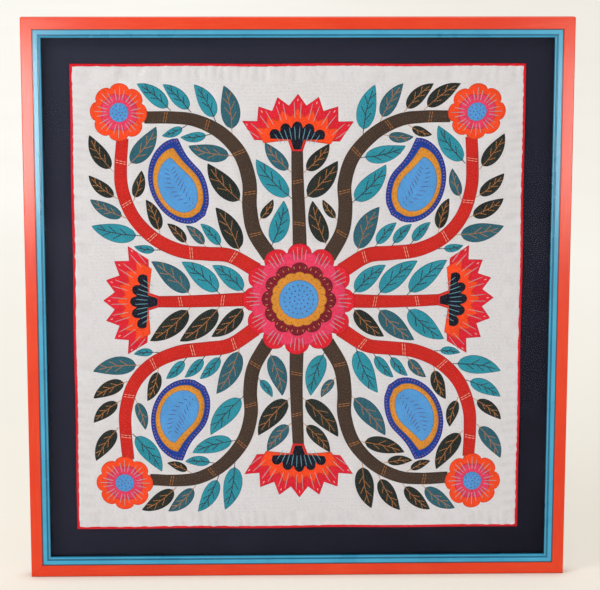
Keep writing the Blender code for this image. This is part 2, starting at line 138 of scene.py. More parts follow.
def complete(tree, shader, colour, height, strength, distance):
    """Give a shader its colour, and a bump made from a height."""
    bump = wired(tree, "Bump", {"Height": height, "Strength": strength, "Distance": distance})
    tree.links.new(colour, shader.inputs["Base Color"])
    tree.links.new(bump.outputs[0], shader.inputs["Normal"])


def new_finish(name, **sockets):
    """A material with its shader's constant sockets set, and the place of each point."""
    material = bpy.data.materials.new(name)
    material.use_nodes = True
    tree = material.node_tree
    shader = tree.nodes["Principled BSDF"]
    for socket, value in sockets.items():
        shader.inputs[socket.replace("_", " ").title().replace("Ior", "IOR")].default_value = value
    place = wired(tree, "TexCoord").outputs["Object"]
    return material, tree, shader, place


def grain_of(tree, place, scale, detail=3.0, roughness=0.55, stretch=(1, 1, 1)):
    """Noise between 0 and 1, at a scale in features per metre, stretched along an axis."""
    squeezed = wired(tree, "Mapping", {"Vector": place, "Scale": stretch}).outputs[0]
    noise = wired(tree, "TexNoise", {"Vector": squeezed, "Scale": scale, "Detail": detail,
                                     "Roughness": roughness})
    return noise.outputs[0]


def ramp(tree, value, low, high, bottom=0.0, top=1.0):
    """A value spread from low..high to bottom..top and clamped."""
    return wired(tree, "MapRange", {0: value, 1: low, 2: high, 3: bottom, 4: top}).outputs[0]


# %% [markdown]
# ## Lacquer on wood
#
# The outer moulding is flat-faced wood under an opaque orange-red satin lacquer. Close to, the
# grain still telegraphs through as faint lengthwise streaks, the sheen is a little uneven where
# the brush overlapped, and the outer front edge is rubbed paler. The back was left bare.
# A photograph of painted wood would do, but a recipe of stretched noise needs no image and looks
# right from any distance. Upright and lying rails get the same recipe with the streaks turned.

# %% Finish of the outer moulding
HALF_WIDTH, HALF_HEIGHT = 0.500, 0.5218
RAIL_DEPTH = 0.028
SLIP_DEPTH = 0.0262
BARE_WOOD, BARE_WOOD_GRAIN = linear(196, 164, 122), linear(172, 136, 96)
SIDES = ("bottom", "left", "top", "right")
LYING = ("bottom", "top")
RUBBED_EDGE = 0.0013


def bare_back(tree, place, painted):
    """The given colour, with bare wood on the back."""
    streaks = grain_of(tree, place, 60, stretch=(1, 1, 0.08))
    wood = blended(tree, streaks, BARE_WOOD, BARE_WOOD_GRAIN)
    return blended(tree, facing_back(tree, 0.8), painted, wood)


def along_rail(side):
    """How noise is stretched so that its streaks run along a rail."""
    return (0.035, 1, 1) if side in LYING else (1, 1, 0.035)


def lacquer(side, body, pale, deep, roughness):
    """Satin lacquer over wood, with its streaks along the rail."""
    material, tree, shader, place = new_finish(f"red_lacquer_{side}", specular_ior_level=0.04,
                                               coat_weight=0.65, coat_roughness=0.16)
    streaks = grain_of(tree, place, 420, detail=4, stretch=along_rail(side))
    cloud = grain_of(tree, place, 9)
    colour = blended(tree, ramp(tree, cloud, 0.35, 0.65), deep, body)
    colour = blended(tree, ramp(tree, streaks, 0.52, 0.80, 0.0, 0.30), colour, pale)
    x, y, z = axes_of(tree, place)
    reach_x = ramp(tree, calc(tree, "ABSOLUTE", x), HALF_WIDTH - RUBBED_EDGE, HALF_WIDTH - 0.0002)
    reach_z = ramp(tree, calc(tree, "ABSOLUTE", z), HALF_HEIGHT - RUBBED_EDGE, HALF_HEIGHT - 0.0002)
    near_front = ramp(tree, y, 0.0020 - RAIL_DEPTH, 0.0006 - RAIL_DEPTH)
    rim = calc(tree, "MULTIPLY", calc(tree, "MAXIMUM", reach_x, reach_z), near_front)
    rubbed = calc(tree, "MULTIPLY", rim, ramp(tree, grain_of(tree, place, 70), 0.48, 0.66, 0.0, 0.55))
    colour = blended(tree, rubbed, colour, pale)
    sheen = ramp(tree, streaks, 0.3, 0.7, roughness - 0.05, roughness + 0.06)
    tree.links.new(sheen, shader.inputs["Roughness"])
    complete(tree, shader, bare_back(tree, place, colour), streaks, 0.35, 0.00012)
    return material


RAIL_COLOURS = (linear(244, 66, 16), linear(250, 112, 73), linear(237, 56, 11))
for side in SIDES:
    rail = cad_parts[f"outer_rail_{side}"]
    rail.material_slots[0].material = lacquer(side, *RAIL_COLOURS, 0.34)
print("outer moulding finished")

# %% [markdown]
# ## The turquoise slip
#
# Inside the red moulding sits a narrow one, the slip: a flat band, a groove and a rounded bead.
# Its lacquer is glossier. The groove is painted darker, as shade where little light gets in. The
# depth of a point says whether it lies in the groove, so a ramp on the y coordinate darkens it.
# A thin painted shadow also runs where the slip meets the red moulding, and the distance from the
# middle of the frame says where that is. Painting both by hand would work too, but this follows
# the moulding by itself.

# %% Finish of the slip
GROOVE_FLOOR = 0.0030
RAIL_WIDTH = 0.0210
SEAM_SHADOW_REACH = (-0.0026, -0.0012)


def slip_lacquer(side):
    """Glossy turquoise lacquer, with painted shade in the groove and a painted shadow along the seam."""
    material, tree, shader, place = new_finish(f"turquoise_lacquer_{side}", specular_ior_level=0.3,
                                               coat_weight=0.6, coat_roughness=0.10)
    streaks = grain_of(tree, place, 480, detail=4, stretch=along_rail(side))
    cloud = grain_of(tree, place, 11)
    body = blended(tree, ramp(tree, cloud, 0.35, 0.65), linear(46, 162, 206), linear(60, 178, 220))
    x, y, z = axes_of(tree, place)
    # Painted shade: the groove gets darker the deeper it lies below the front.
    groove_shade = ramp(tree, y, 0.0005 - SLIP_DEPTH, GROOVE_FLOOR - SLIP_DEPTH)
    colour = blended(tree, calc(tree, "MULTIPLY", groove_shade, 0.72), body, linear(22, 96, 130))
    worn = ramp(tree, streaks, 0.60, 0.85, 0.0, 0.22)
    colour = blended(tree, worn, colour, linear(150, 208, 226))
    # Painted shadow: a dark line in the gap where the slip meets the red moulding.
    past_x = calc(tree, "SUBTRACT", calc(tree, "ABSOLUTE", x), HALF_WIDTH - RAIL_WIDTH)
    past_z = calc(tree, "SUBTRACT", calc(tree, "ABSOLUTE", z), HALF_HEIGHT - RAIL_WIDTH)
    seam_shadow = ramp(tree, calc(tree, "MAXIMUM", past_x, past_z), *SEAM_SHADOW_REACH, 0.0, 0.92)
    colour = blended(tree, seam_shadow, colour, linear(16, 52, 74))
    tree.links.new(ramp(tree, cloud, 0.3, 0.7, 0.24, 0.34), shader.inputs["Roughness"])
    complete(tree, shader, bare_back(tree, place, colour), streaks, 0.3, 0.0001)
    return material


for side in SIDES:
    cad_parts[f"slip_rail_{side}"].material_slots[0].material = slip_lacquer(side)
print("slip finished")

# %% [markdown]
# ## A weave made of sines
#
# Plain weave is a chequer of small bumps: each thread passes over the next one and under the one
# after. The product of two sine waves, one along each thread direction, is just such a chequer.
# It could be a tiled image, but a formula has no edges to match and stays sharp close to. The
# period is that of real cotton, a little under a millimetre for two threads.

# %% The weave
WEAVE_PERIOD = 0.0009


def weave_of(tree, place, turn=0.0):
    """The height of a plain weave, from 0 to 1, with its threads turned by an angle."""
    turned_place = wired(tree, "Mapping", {"Vector": place, "Rotation": (0, turn, 0)}).outputs[0]
    x, _, z = axes_of(tree, turned_place)
    turns = 2 * math.pi / WEAVE_PERIOD
    waves = [calc(tree, "SINE", calc(tree, "MULTIPLY", axis, turns)) for axis in (x, z)]
    return calc(tree, "MULTIPLY_ADD", calc(tree, "MULTIPLY", *waves), 0.5, 0.5)


# %% [markdown]
# ## The board under its navy cloth
#
# A stiff board fills the frame, covered with dark navy cotton. Only its margins show. The cloth
# is smooth and tight, so it gets a fine weave and a few thicker threads. Towards the upper left
# daylight on the glass veils it. Traced through the pane, so faint a reflection is mostly noise,
# so the cloth's own colour grows slowly paler that way instead. On the back the board is sealed
# with brown paper.

# %% Finish of the board
material, tree, shader, place = new_finish("navy_board_cloth", roughness=0.85, specular_ior_level=0.06,
                                           sheen_weight=0.02, sheen_roughness=0.5)
weave = weave_of(tree, place)
slubs = calc(tree, "MAXIMUM", grain_of(tree, place, 900, stretch=(0.03, 1, 1)),
             grain_of(tree, place, 900, stretch=(1, 1, 0.03)))
cloud = grain_of(tree, place, 14)
x, _, z = axes_of(tree, place)
# Painted reflection: the navy grows paler towards the upper left, in place of daylight on the glass.
painted_reflection = ramp(tree, calc(tree, "SUBTRACT", z, x), -0.95, 0.95)
navy = blended(tree, painted_reflection, linear(17, 17, 32), linear(47, 50, 66))
navy = blended(tree, ramp(tree, cloud, 0.35, 0.65, 0.0, 0.2), navy, linear(46, 49, 66))
navy = blended(tree, ramp(tree, slubs, 0.62, 0.80, 0.0, 0.4), navy, linear(48, 51, 72))
navy = blended(tree, ramp(tree, weave, 0.0, 0.5, 0.45, 0.0), navy, linear(9, 9, 19))
paper_fibres = grain_of(tree, place, 180, detail=6)
paper = blended(tree, paper_fibres, linear(176, 142, 102), linear(150, 118, 82))
both_sides = blended(tree, facing_back(tree, 0.5), navy, paper)
complete(tree, shader, both_sides, calc(tree, "MULTIPLY_ADD", slubs, 0.8, weave), 0.5, 0.00015)
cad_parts["mount_board"].material_slots[0].material = material
print("board finished")

# %% [markdown]
# ## The glass
#
# A thin pane lies under the lip of the slip. Seen almost straight on, it hardly shows. A glass
# shader with a nearly mirror-smooth surface does that, but it would also block the lamps: light
# that goes through glass and back is hard to trace. So the rays that look for shadows pass
# straight through, and only what the eye sees is glass. The reflection is kept weak, as on picture
# glass with an anti-glare coating: a low index of refraction does it.

# %% Finish of the pane
material = bpy.data.materials.new("picture_glass")
material.use_nodes = True
tree = material.node_tree
shader = tree.nodes["Principled BSDF"]
shader.inputs["Base Color"].default_value = (1, 1, 1, 1)
shader.inputs["Roughness"].default_value = 0.02
shader.inputs["IOR"].default_value = 1.10
shader.inputs["Transmission Weight"].default_value = 1.0
shadow_ray = wired(tree, "LightPath").outputs["Is Shadow Ray"]
passing = wired(tree, "BsdfTransparent").outputs[0]
through = wired(tree, "MixShader", {0: shadow_ray, 1: shader.outputs[0], 2: passing})
tree.links.new(through.outputs[0], tree.nodes["Material Output"].inputs["Surface"])
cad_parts["glazing_pane"].material_slots[0].material = material
print("pane finished")

# %% [markdown]
# ## The layout of the design
#
# The sewn shapes are drawn flat, as outlines in the plane of the panel. The lines bend through a
# few points, as when a curve is drawn through pins. These are the same values that the solids
# were made from, so each piece of cloth lies where its solid is. Only one quarter is drawn. The
# others are its mirror images, and a slow warp keeps them from being perfect twins, as with
# shapes that were cut and placed by hand.

# %% Lines and outlines
PANEL_WIDTH, PANEL_HEIGHT, PANEL_RISE = 0.828, 0.873, 0.001
QUARTERS = {"ne": (1, 1), "nw": (-1, 1), "se": (1, -1), "sw": (-1, -1)}


def smooth(points, steps):
    """A smooth line through a few points."""
    knots = [np.array(point, float) for point in points]
    knots = [2 * knots[0] - knots[1], *knots, 2 * knots[-1] - knots[-2]]
    line = []
    for a, b, c, d in zip(knots, knots[1:], knots[2:], knots[3:]):
        for step in range(steps):
            t = step / steps
            bend = (2 * a - 5 * b + 4 * c - d) * t ** 2 + (3 * b - a - 3 * c + d) * t ** 3
            line.append(0.5 * (2 * b + (c - a) * t + bend))
    line.append(knots[-2])
    return np.array(line)


def directions(line):
    """Unit vectors along a line and to its left."""
    along = np.gradient(line, axis=0)
    along /= np.linalg.norm(along, axis=1)[:, None]
    return along, np.stack([-along[:, 1], along[:, 0]], axis=1)


def run_of(line):
    """The distance of each point of a line from its start."""
    return np.concatenate([[0], np.cumsum(np.linalg.norm(np.diff(line, axis=0), axis=1))])


def spots_on(line, marks):
    """Places on a line at given distances from its start."""
    run = run_of(line)
    return np.stack([np.interp(marks, run, line[:, axis]) for axis in (0, 1)], axis=1)


def turned(points, angle, at):
    """Points turned about zero and moved."""
    turn = np.array([[math.cos(angle), math.sin(angle)], [-math.sin(angle), math.cos(angle)]])
    return np.asarray(points, float) @ turn + np.asarray(at, float)


def hand_cut(points):
    """The slow unevenness of shapes cut and placed by hand."""
    x, z = np.asarray(points, float).T
    shift_x = 0.0022 * np.sin(15.3 * z + 0.7) + 0.0012 * np.sin(27 * x + 11 * z)
    shift_z = 0.0022 * np.sin(16.1 * x + 1.9) + 0.0012 * np.sin(24 * z - 13 * x)
    return np.stack([x + shift_x, z + shift_z], axis=1)


def mirrored(points, signs):
    """Points of the first quarter in another quarter, with the unevenness of handwork."""
    return hand_cut(np.asarray(points) * np.array(signs, float))


# %% [markdown]
# ## Stems and leaves
#
# The stems are long bias strips. The leaves grow from both sides of them on short embroidered
# stalks. A leaf is a bent middle line with a half width that rises from the base and falls to
# the tip. Each row of the table is one leaf: the side of the stem, the distance from its root
# and the leaf's length in millimetres, and how far it leans from the stem in degrees. Scattering
# them by chance would be quicker to write, but they would overlap or leave bare patches.

# %% Stems and leaves, drawn flat
STEMS = {
    "red_stem": (0.028, 0.022, [(77, 54), (126, 84), (170, 90), (218, 96), (266, 118),
                                (302, 156), (320, 206), (322, 252), (319, 302)]),
    "brown_stem": (0.028, 0.022, [(53, 79), (80, 126), (88, 172), (88, 220), (104, 270),
                                  (140, 312), (184, 336), (228, 342), (280, 341)]),
    "upright_stem": (0.026, 0.022, [(0, 90), (0, 185), (0, 284)]),
    "level_stem": (0.026, 0.022, [(90, 0), (180, 0), (266, 0)]),
}
LEAVES_OF = {
    "red_stem": [(-1, 190, 38, 30), (-1, 226, 84, 42), (-1, 262, 66, 42), (-1, 298, 60, 42),
                 (-1, 346, 72, 42), (1, 46, 90, 42), (1, 76, 54, 50), (1, 106, 48, 50),
                 (1, 142, 48, 42), (1, 202, 60, 42), (1, 286, 54, 42), (1, 358, 84, 42)],
    "brown_stem": [(-1, 112, 90, 50), (-1, 208, 78, 50), (-1, 274, 48, 42), (-1, 328, 42, 36),
                   (1, 16, 84, 56), (1, 76, 42, 50), (1, 244, 84, 42), (1, 280, 72, 36),
                   (1, 322, 66, 42), (1, 358, 72, 42)],
    "upright_stem": [(-1, 100, 90, 50), (-1, 148, 66, 50), (1, 100, 90, 50), (1, 148, 66, 50)],
    "level_stem": [(1, 10, 78, 50), (1, 58, 90, 50), (1, 112, 90, 50),
                   (-1, 10, 78, 50), (-1, 58, 90, 50), (-1, 112, 90, 50)],
}
STALK_REACH = 0.005
PLACES = [(stem, signs) for stem in ("red_stem", "brown_stem") for signs in QUARTERS.values()]
PLACES += [("upright_stem", (1, 1)), ("upright_stem", (1, -1))]
PLACES += [("level_stem", (1, 1)), ("level_stem", (-1, 1))]
LEAF_SHAPE, LEAF_SLENDER, LEAF_CURL = (0.62, 0.95), 0.41, math.radians(22)


def ribbon(line, root_width, tip_width):
    """A strip along a line."""
    _, left = directions(line)
    half = np.linspace(root_width, tip_width, len(line))[:, None] / 2
    return np.concatenate([line - left * half, (line + left * half)[::-1]])


def blade(at, heading, length, width, curl, shape, steps):
    """A leaf or a drop: its outline, and its bent middle line."""
    share = np.linspace(0, 1, steps + 1)
    bearing = curl * share ** 1.5
    mean = (bearing[1:] + bearing[:-1]) / 2
    strides = np.stack([np.cos(mean), np.sin(mean)], axis=1) * length / steps
    middle = np.concatenate([[[0, 0]], np.cumsum(strides, axis=0)])
    rise, fall = shape
    widest = rise / (rise + fall)
    half = width / 2 * (share / widest) ** rise * ((1 - share) / (1 - widest)) ** fall
    left = np.stack([-np.sin(bearing), np.cos(bearing)], axis=1)
    edge = np.concatenate([middle - left * half[:, None], (middle + left * half[:, None])[-2:0:-1]])
    return turned(edge, heading, at), turned(middle, heading, at)


def leaves_on(stem):
    """Each leaf of one stem: outline, middle line, and the foot of its stalk."""
    root_width, tip_width, route = STEMS[stem]
    line = smooth(np.array(route) / 1000, 8)
    along, left = directions(line)
    run = run_of(line)
    half_stem = (root_width + tip_width) / 4
    grown = []
    for side, distance, length, lean in LEAVES_OF[stem]:
        spot = spots_on(line, [distance / 1000])[0]
        near = int(np.argmin(np.abs(run - distance / 1000)))
        outward = left[near] * side * (half_stem + STALK_REACH)
        at = spot + outward + along[near] * STALK_REACH * 0.6
        heading = math.atan2(along[near][1], along[near][0]) + side * math.radians(lean)
        size = (length / 1000, LEAF_SLENDER * length / 1000)
        edge, middle = blade(at, heading, *size, -side * LEAF_CURL, LEAF_SHAPE, 15)
        stalk = 1.15 * STALK_REACH / math.sin(math.radians(lean))
        grown.append((edge, middle, at - stalk * np.array([math.cos(heading), math.sin(heading)])))
    return grown


STEM_SHAPES, LEAVES = [], []
for stem, signs in PLACES:
    root_width, tip_width, route = STEMS[stem]
    middle = smooth(np.array(route) / 1000, 10)
    strip = ribbon(middle, root_width, tip_width)
    STEM_SHAPES.append((stem, mirrored(strip, signs), mirrored(middle, signs)))
    for edge, spine, foot in leaves_on(stem):
        LEAVES.append((mirrored(edge, signs), mirrored(spine, signs), mirrored([foot], signs)[0]))
print("stems:", len(STEM_SHAPES), "leaves:", len(LEAVES))

# %% [markdown]
# ## Flowers, drops and rosettes
#
# In the middle is a round flower in five layers. A fan-shaped carnation closes each straight stem,
# a curled drop sits inside each loop, and a small rosette fills each corner. Their edges are
# scallops and teeth, drawn in polar coordinates: an angle and a reach that swings in and out.

# %% Flowers and drops, drawn flat
CARNATION_SIZE = 0.116
CARNATIONS = [((0.0, 0.274), 90), ((0.0, -0.274), -90), ((0.256, 0.0), 0), ((-0.256, 0.0), 180)]
CORNER_AT, CORNER_RADIUS = np.array((0.326, 0.348)), 0.052
PAISLEY_AT, PAISLEY_HEADING, PAISLEY_CURL = np.array((0.170, 0.160)), math.radians(38), math.radians(86)
PAISLEY_SIZE, DROP_SHAPE = (0.168, 0.104), (0.55, 0.80)
HUB = -0.25


def scalloped(at, radius, lobes, depth, start=0.0, steps=12):
    """A round outline with lobes, the first of them at the starting angle."""
    turn = np.arange(lobes * steps) / steps
    reach = radius * (1 - depth + depth * np.abs(np.sin(math.pi * turn)) ** 0.6)
    angle = start + 2 * math.pi * (turn - 0.5) / lobes
    return np.stack([reach * np.cos(angle), reach * np.sin(angle)], axis=1) + np.array(at, float)


def toothed_fan(at, heading, size, teeth, spread, valley, tip, foot):
    """A fan with a zigzag edge, on a narrow foot."""
    edge = []
    for tooth in range(teeth + 1):
        angle = -spread + 2 * spread * tooth / teeth
        reach = valley * 0.82 if tooth in (0, teeth) else valley
        edge.append((HUB + reach * math.cos(angle), reach * math.sin(angle)))
        if tooth < teeth:
            peak = angle + spread / teeth
            edge.append((HUB + tip * math.cos(peak), tip * math.sin(peak)))
    points = [(foot[0][0], -foot[0][1]), (foot[1][0], -foot[1][1]), *edge, foot[1], foot[0]]
    return turned(np.array(points) * size, heading, at)


def lobed_cup(at, heading, size, lobes=5, spread=math.radians(44)):
    """The lower part of the fan, with a scalloped upper edge."""
    step = np.arange(lobes * 6 + 1)
    angle = -spread + 2 * spread * step / (lobes * 6)
    reach = 0.62 + 0.10 * np.abs(np.sin(math.pi * step / 6)) ** 0.6
    edge = np.stack([HUB + reach * np.cos(angle), reach * np.sin(angle)], axis=1)
    points = [(0.03, -0.06), (0.18, -0.11), *edge, (0.18, 0.11), (0.03, 0.06)]
    return turned(np.array(points) * size, heading, at)


def drop(inset, signs):
    """The curled drop, or a smaller one inside it."""
    length, width = PAISLEY_SIZE
    ahead = np.array([math.cos(PAISLEY_HEADING), math.sin(PAISLEY_HEADING)])
    at = PAISLEY_AT + inset * 1.25 * ahead
    share = 1 - inset * 19
    edge, middle = blade(at, PAISLEY_HEADING + inset * 3.4, length * share, width * share,
                         PAISLEY_CURL * (1 - 16 * inset), DROP_SHAPE, 26)
    return mirrored(edge, signs), mirrored(middle, signs)


FOOT, INNER_FOOT = ((0.0, 0.09), (0.16, 0.15)), ((0.02, 0.07), (0.17, 0.13))
BLOOMS = {"crimson_rose": [hand_cut(scalloped((0, 0), 0.104, 12, 0.16))],
          "pink_rose": [hand_cut(scalloped((0, 0), 0.088, 12, 0.13, math.pi / 12))],
          "maroon_rose": [hand_cut(scalloped((0, 0), 0.068, 12, 0.14))],
          "mustard_rose": [hand_cut(scalloped((0, 0), 0.051, 16, 0.07))],
          "sky_rose": [hand_cut(scalloped((0, 0), 0.036, 24, 0.03))]}
for name in ("crimson_fan", "orange_fan", "navy_cup", "royal_drop", "mustard_drop", "sky_drop",
             "orange_rosette", "pink_rosette", "sky_rosette"):
    BLOOMS[name] = []
DROP_LINES = []
for at, heading in CARNATIONS:
    angle = math.radians(heading)
    fan = toothed_fan(at, angle, CARNATION_SIZE, 7, math.radians(58), 0.98, 1.16, FOOT)
    inner = toothed_fan(at, angle, CARNATION_SIZE, 7, math.radians(55), 0.80, 0.94, INNER_FOOT)
    BLOOMS["crimson_fan"].append(hand_cut(fan))
    BLOOMS["orange_fan"].append(hand_cut(inner))
    BLOOMS["navy_cup"].append(hand_cut(lobed_cup(at, angle, CARNATION_SIZE)))
for signs in QUARTERS.values():
    for name, inset in (("royal_drop", 0.0), ("mustard_drop", 0.0095), ("sky_drop", 0.0185)):
        edge, middle = drop(inset, signs)
        BLOOMS[name].append(edge)
        DROP_LINES.append((name, edge, middle))
    BLOOMS["orange_rosette"].append(mirrored(scalloped(CORNER_AT, CORNER_RADIUS, 8, 0.14), signs))
    inner = scalloped(CORNER_AT, CORNER_RADIUS * 0.66, 8, 0.16, math.pi / 8)
    BLOOMS["pink_rosette"].append(mirrored(inner, signs))
    BLOOMS["sky_rosette"].append(mirrored(scalloped(CORNER_AT, CORNER_RADIUS * 0.34, 14, 0.04), signs))
print("flower pieces:", sum(len(shapes) for shapes in BLOOMS.values()))

# %% [markdown]
# ## Cotton and thread
#
# Every cloth here is plain cotton, dyed in a strong flat colour. Close to it is never flat: the
# weave shows, washing has left small creases, and the dye is a little uneven. So one recipe,
# given a colour, makes them all: weave and creases as bump, mottling in the colour, and a soft
# sheen from the fibres on the surface. Along a folded edge a shade is painted into the colour,
# where the edge dips under the stitches: each sewn shape stores a number there, and the recipe
# reads it. Threads shine more than cloth and have a twist.

# %% Recipes for cotton and thread


def cotton(name, colour, mottle=0.16, crease=1.0, turn=0.0):
    """Dyed plain-weave cotton, slightly creased."""
    material, tree, shader, place = new_finish(name, roughness=0.88, specular_ior_level=0.14,
                                               sheen_weight=0.04, sheen_roughness=0.45)
    weave = weave_of(tree, place, turn=turn)
    speckle = grain_of(tree, place, 420, detail=3)
    cloud = grain_of(tree, place, 34)
    body = linear(*colour)
    dark = linear(*(value * (1 - mottle) for value in colour))
    pale = linear(*(value + (255 - value) * mottle * 0.7 for value in colour))
    dyed = blended(tree, ramp(tree, speckle, 0.30, 0.52, 0.9, 0.0), body, dark)
    dyed = blended(tree, ramp(tree, speckle, 0.50, 0.80, 0.0, 0.7), dyed, pale)
    dyed = blended(tree, ramp(tree, cloud, 0.30, 0.62, 0.35, 0.0), dyed, dark)
    # Painted shade: the 'hem' number darkens the colour along folded edges and in the ground's hollows.
    hem = wired(tree, "Attribute", attribute_name="hem").outputs["Fac"]
    shaded = linear(*(value * 0.52 for value in colour))
    dyed = blended(tree, calc(tree, "MULTIPLY", hem, 0.7), dyed, shaded)
    creases = calc(tree, "MULTIPLY", grain_of(tree, place, 230, detail=3), 3.0 * crease)
    complete(tree, shader, dyed, calc(tree, "MULTIPLY_ADD", weave, 0.35, creases), 0.55, 0.00042)
    return material


def thread(name, colour):
    """Soft embroidery cotton with a visible twist."""
    material, tree, shader, place = new_finish(name, roughness=0.50, specular_ior_level=0.4)
    twist = grain_of(tree, place, 2200, detail=1)
    dark = linear(*(value * 0.78 for value in colour))
    dyed = blended(tree, ramp(tree, twist, 0.35, 0.65), dark, linear(*colour))
    complete(tree, shader, dyed, twist, 0.4, 0.0002)
    return material


print("weave period:", WEAVE_PERIOD * 1000, "mm")

# %% [markdown]
# ## How a sewn shape stands up
#
# An applique shape is cut a little large, its edge is turned under, and it is hemmed down. Seen
# from the side it rises steeply over the folded edge and swells slightly in the middle. So the
# height of each point follows from one number, its distance to the edge. The flat shape is filled
# with points in rings along the edge, where the height changes fast, and on a coarse grid
# within, and Blender's own triangulation joins them. A subdivided plane pressed by a Cloth
# simulation would crease more freely, but takes minutes and blurs the crisp turned edge.

# %% Helpers for sewn shapes
GROUND_FRONT = 0.0093
EDGE_RINGS = (0.0004, 0.0010, 0.0021)
EDGE_STEP, GRID_STEP = 0.0017, 0.0030
TURN_RADIUS = 0.0015
EDGE_SHADE_WIDTH = 0.0011
TUCK = 0.0005


def evenly(outline, step):
    """A closed outline with points at equal steps."""
    loop = np.vstack([outline, outline[:1]])
    length = run_of(loop)[-1]
    return spots_on(loop, np.linspace(0, length, max(12, round(length / step)), endpoint=False))


def area_of(outline):
    """The signed area of a closed outline."""
    x, z = outline.T
    return float(np.sum(x * np.roll(z, -1) - np.roll(x, -1) * z) / 2)


def inward_of(loop):
    """Unit vectors that point into a closed outline, at each of its points."""
    along = np.roll(loop, -1, axis=0) - np.roll(loop, 1, axis=0)
    inward = np.stack([-along[:, 1], along[:, 0]], axis=1) * np.sign(area_of(loop))
    return inward / np.linalg.norm(inward, axis=1)[:, None]


def edge_distance(points, outline):
    """How far each point is from an outline, and where along the outline its foot lies."""
    start, end = outline, np.roll(outline, -1, axis=0)
    span = end - start
    squared = np.maximum((span ** 2).sum(axis=1), 1e-16)
    share = ((points[:, None] - start[None]) * span[None]).sum(axis=2) / squared[None]
    share = share.clip(0, 1)
    foot = start[None] + share[..., None] * span[None]
    gaps = np.linalg.norm(points[:, None] - foot, axis=2)
    nearest = gaps.argmin(axis=1)
    row = np.arange(len(points))
    return gaps[row, nearest], nearest + share[row, nearest]


def inside(points, outline):
    """Which points lie inside a closed outline."""
    x, z = points[:, 0][:, None], points[:, 1][:, None]
    x0, z0 = outline[:, 0][None], outline[:, 1][None]
    x1, z1 = np.roll(x0, -1), np.roll(z0, -1)
    rise = np.where(z1 == z0, 1e-12, z1 - z0)
    crossings = ((z0 > z) != (z1 > z)) & (x < (x1 - x0) * (z - z0) / rise + x0)
    return crossings.sum(axis=1) % 2 == 1


def crinkles(points, seed, pitch):
    """Small even waviness between -1 and 1."""
    chance = np.random.default_rng(seed)
    angle = chance.uniform(0, 2 * math.pi, 8)
    rate = 2 * math.pi / pitch * chance.uniform(0.6, 1.5, 8)
    phase = chance.uniform(0, 2 * math.pi, 8)
    along = points[:, :1] * np.cos(angle) + points[:, 1:] * np.sin(angle)
    return np.sin(along * rate + phase).sum(axis=1) / 4


def filled(outline):
    """Points and triangles that fill an outline, with rings of points along its edge."""
    if area_of(outline) < 0:
        outline = outline[::-1]
    edge = evenly(outline, EDGE_STEP)
    inward = inward_of(edge)
    points = [edge]
    for ring in EDGE_RINGS:
        inner = edge + inward * ring
        gap, _ = edge_distance(inner, edge)
        points.append(inner[(gap > 0.93 * ring) & inside(inner, edge)])
    low, high = edge.min(axis=0), edge.max(axis=0)
    rows = np.arange(low[1], high[1], GRID_STEP * 0.87)
    grid = np.array([(x + (n % 2) * GRID_STEP / 2, z) for n, z in enumerate(rows)
                     for x in np.arange(low[0], high[0], GRID_STEP)])
    grid = grid[inside(grid, edge)]
    if len(grid):
        gap, _ = edge_distance(grid, edge)
        points.append(grid[gap > EDGE_RINGS[-1] + GRID_STEP * 0.45])
    flat = np.concatenate(points) * 1000
    made = delaunay_2d_cdt([Vector(p) for p in flat], [], [list(range(len(edge)))], 1, 0.001)
    return np.array([tuple(p) for p in made[0]]) / 1000, np.array([tuple(f) for f in made[2]]), edge


# %% [markdown]
# ## A mesh from numbers
#
# Blender's mesh takes lists of points and faces. One helper turns points of the panel's plane and
# their depths into a named, smoothly shaded object that rides on the frame's only body. A list
# keeps all cloth, because the threads have to be laid on top of it later.

# %% Helpers for meshes
CLOTH = []


def make_piece(name, flat, depth, faces, finish, stands_for=(), hem=None):
    """An object from points in the panel's plane and their depths."""
    mesh = bpy.data.meshes.new(name)
    points = np.stack([flat[:, 0], -depth, flat[:, 1] + PANEL_RISE], axis=1)
    mesh.from_pydata(points.tolist(), [], faces.tolist())
    mesh.update()
    mesh.shade_smooth()
    mesh.materials.append(finish)
    # The 'hem' attribute holds painted shade for the cotton recipe.
    if hem is not None:
        mesh.attributes.new("hem", "FLOAT", "POINT").data.foreach_set("value", hem.astype(np.float32))
    piece = bpy.data.objects.new(name, mesh)
    scene.collection.objects.link(piece)
    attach(piece, "root")
    if stands_for:
        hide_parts(*stands_for)
    return piece


def facing_front(flat, faces):
    """The same triangles, wound so that they look at the viewer."""
    a, b, c = (flat[faces[:, k]] for k in range(3))
    turn = (b[:, 0] - a[:, 0]) * (c[:, 1] - a[:, 1]) - (b[:, 1] - a[:, 1]) * (c[:, 0] - a[:, 0])
    return np.where((turn > 0)[:, None], faces, faces[:, ::-1])


def surface_of(pieces):
    """A tree that rays can be cast at, made from several pieces."""
    points, faces = [], []
    for piece in pieces:
        start = len(points)
        points += [tuple(vertex.co) for vertex in piece.data.vertices]
        faces += [[start + n for n in face.vertices] for face in piece.data.polygons]
    return BVHTree.FromPolygons(points, faces)


IN_FRONT, BACKWARDS = -0.0163, Vector((0, 1, 0))


def depth_on(tree, points, fallback=GROUND_FRONT):
    """The depth of the cloth at points of the panel's plane."""
    found = np.full(len(points), fallback)
    for n, (x, z) in enumerate(points):
        hit = tree.ray_cast(Vector((x, IN_FRONT, z + PANEL_RISE)), BACKWARDS)[0]
        if hit is not None:
            found[n] = -hit.y
    return found


def resting_on(tree, points, reach=0.0022):
    """The depth of what lies below, evened out over a small reach, as cloth bridges a step."""
    here = depth_on(tree, points)
    shifts = reach * np.array([(1, 0), (-1, 0), (0, 1), (0, -1)])
    around = sum(depth_on(tree, points + shift) for shift in shifts)
    return np.maximum(here, (here * 2 + around) / 6)


print("triangulation ready")

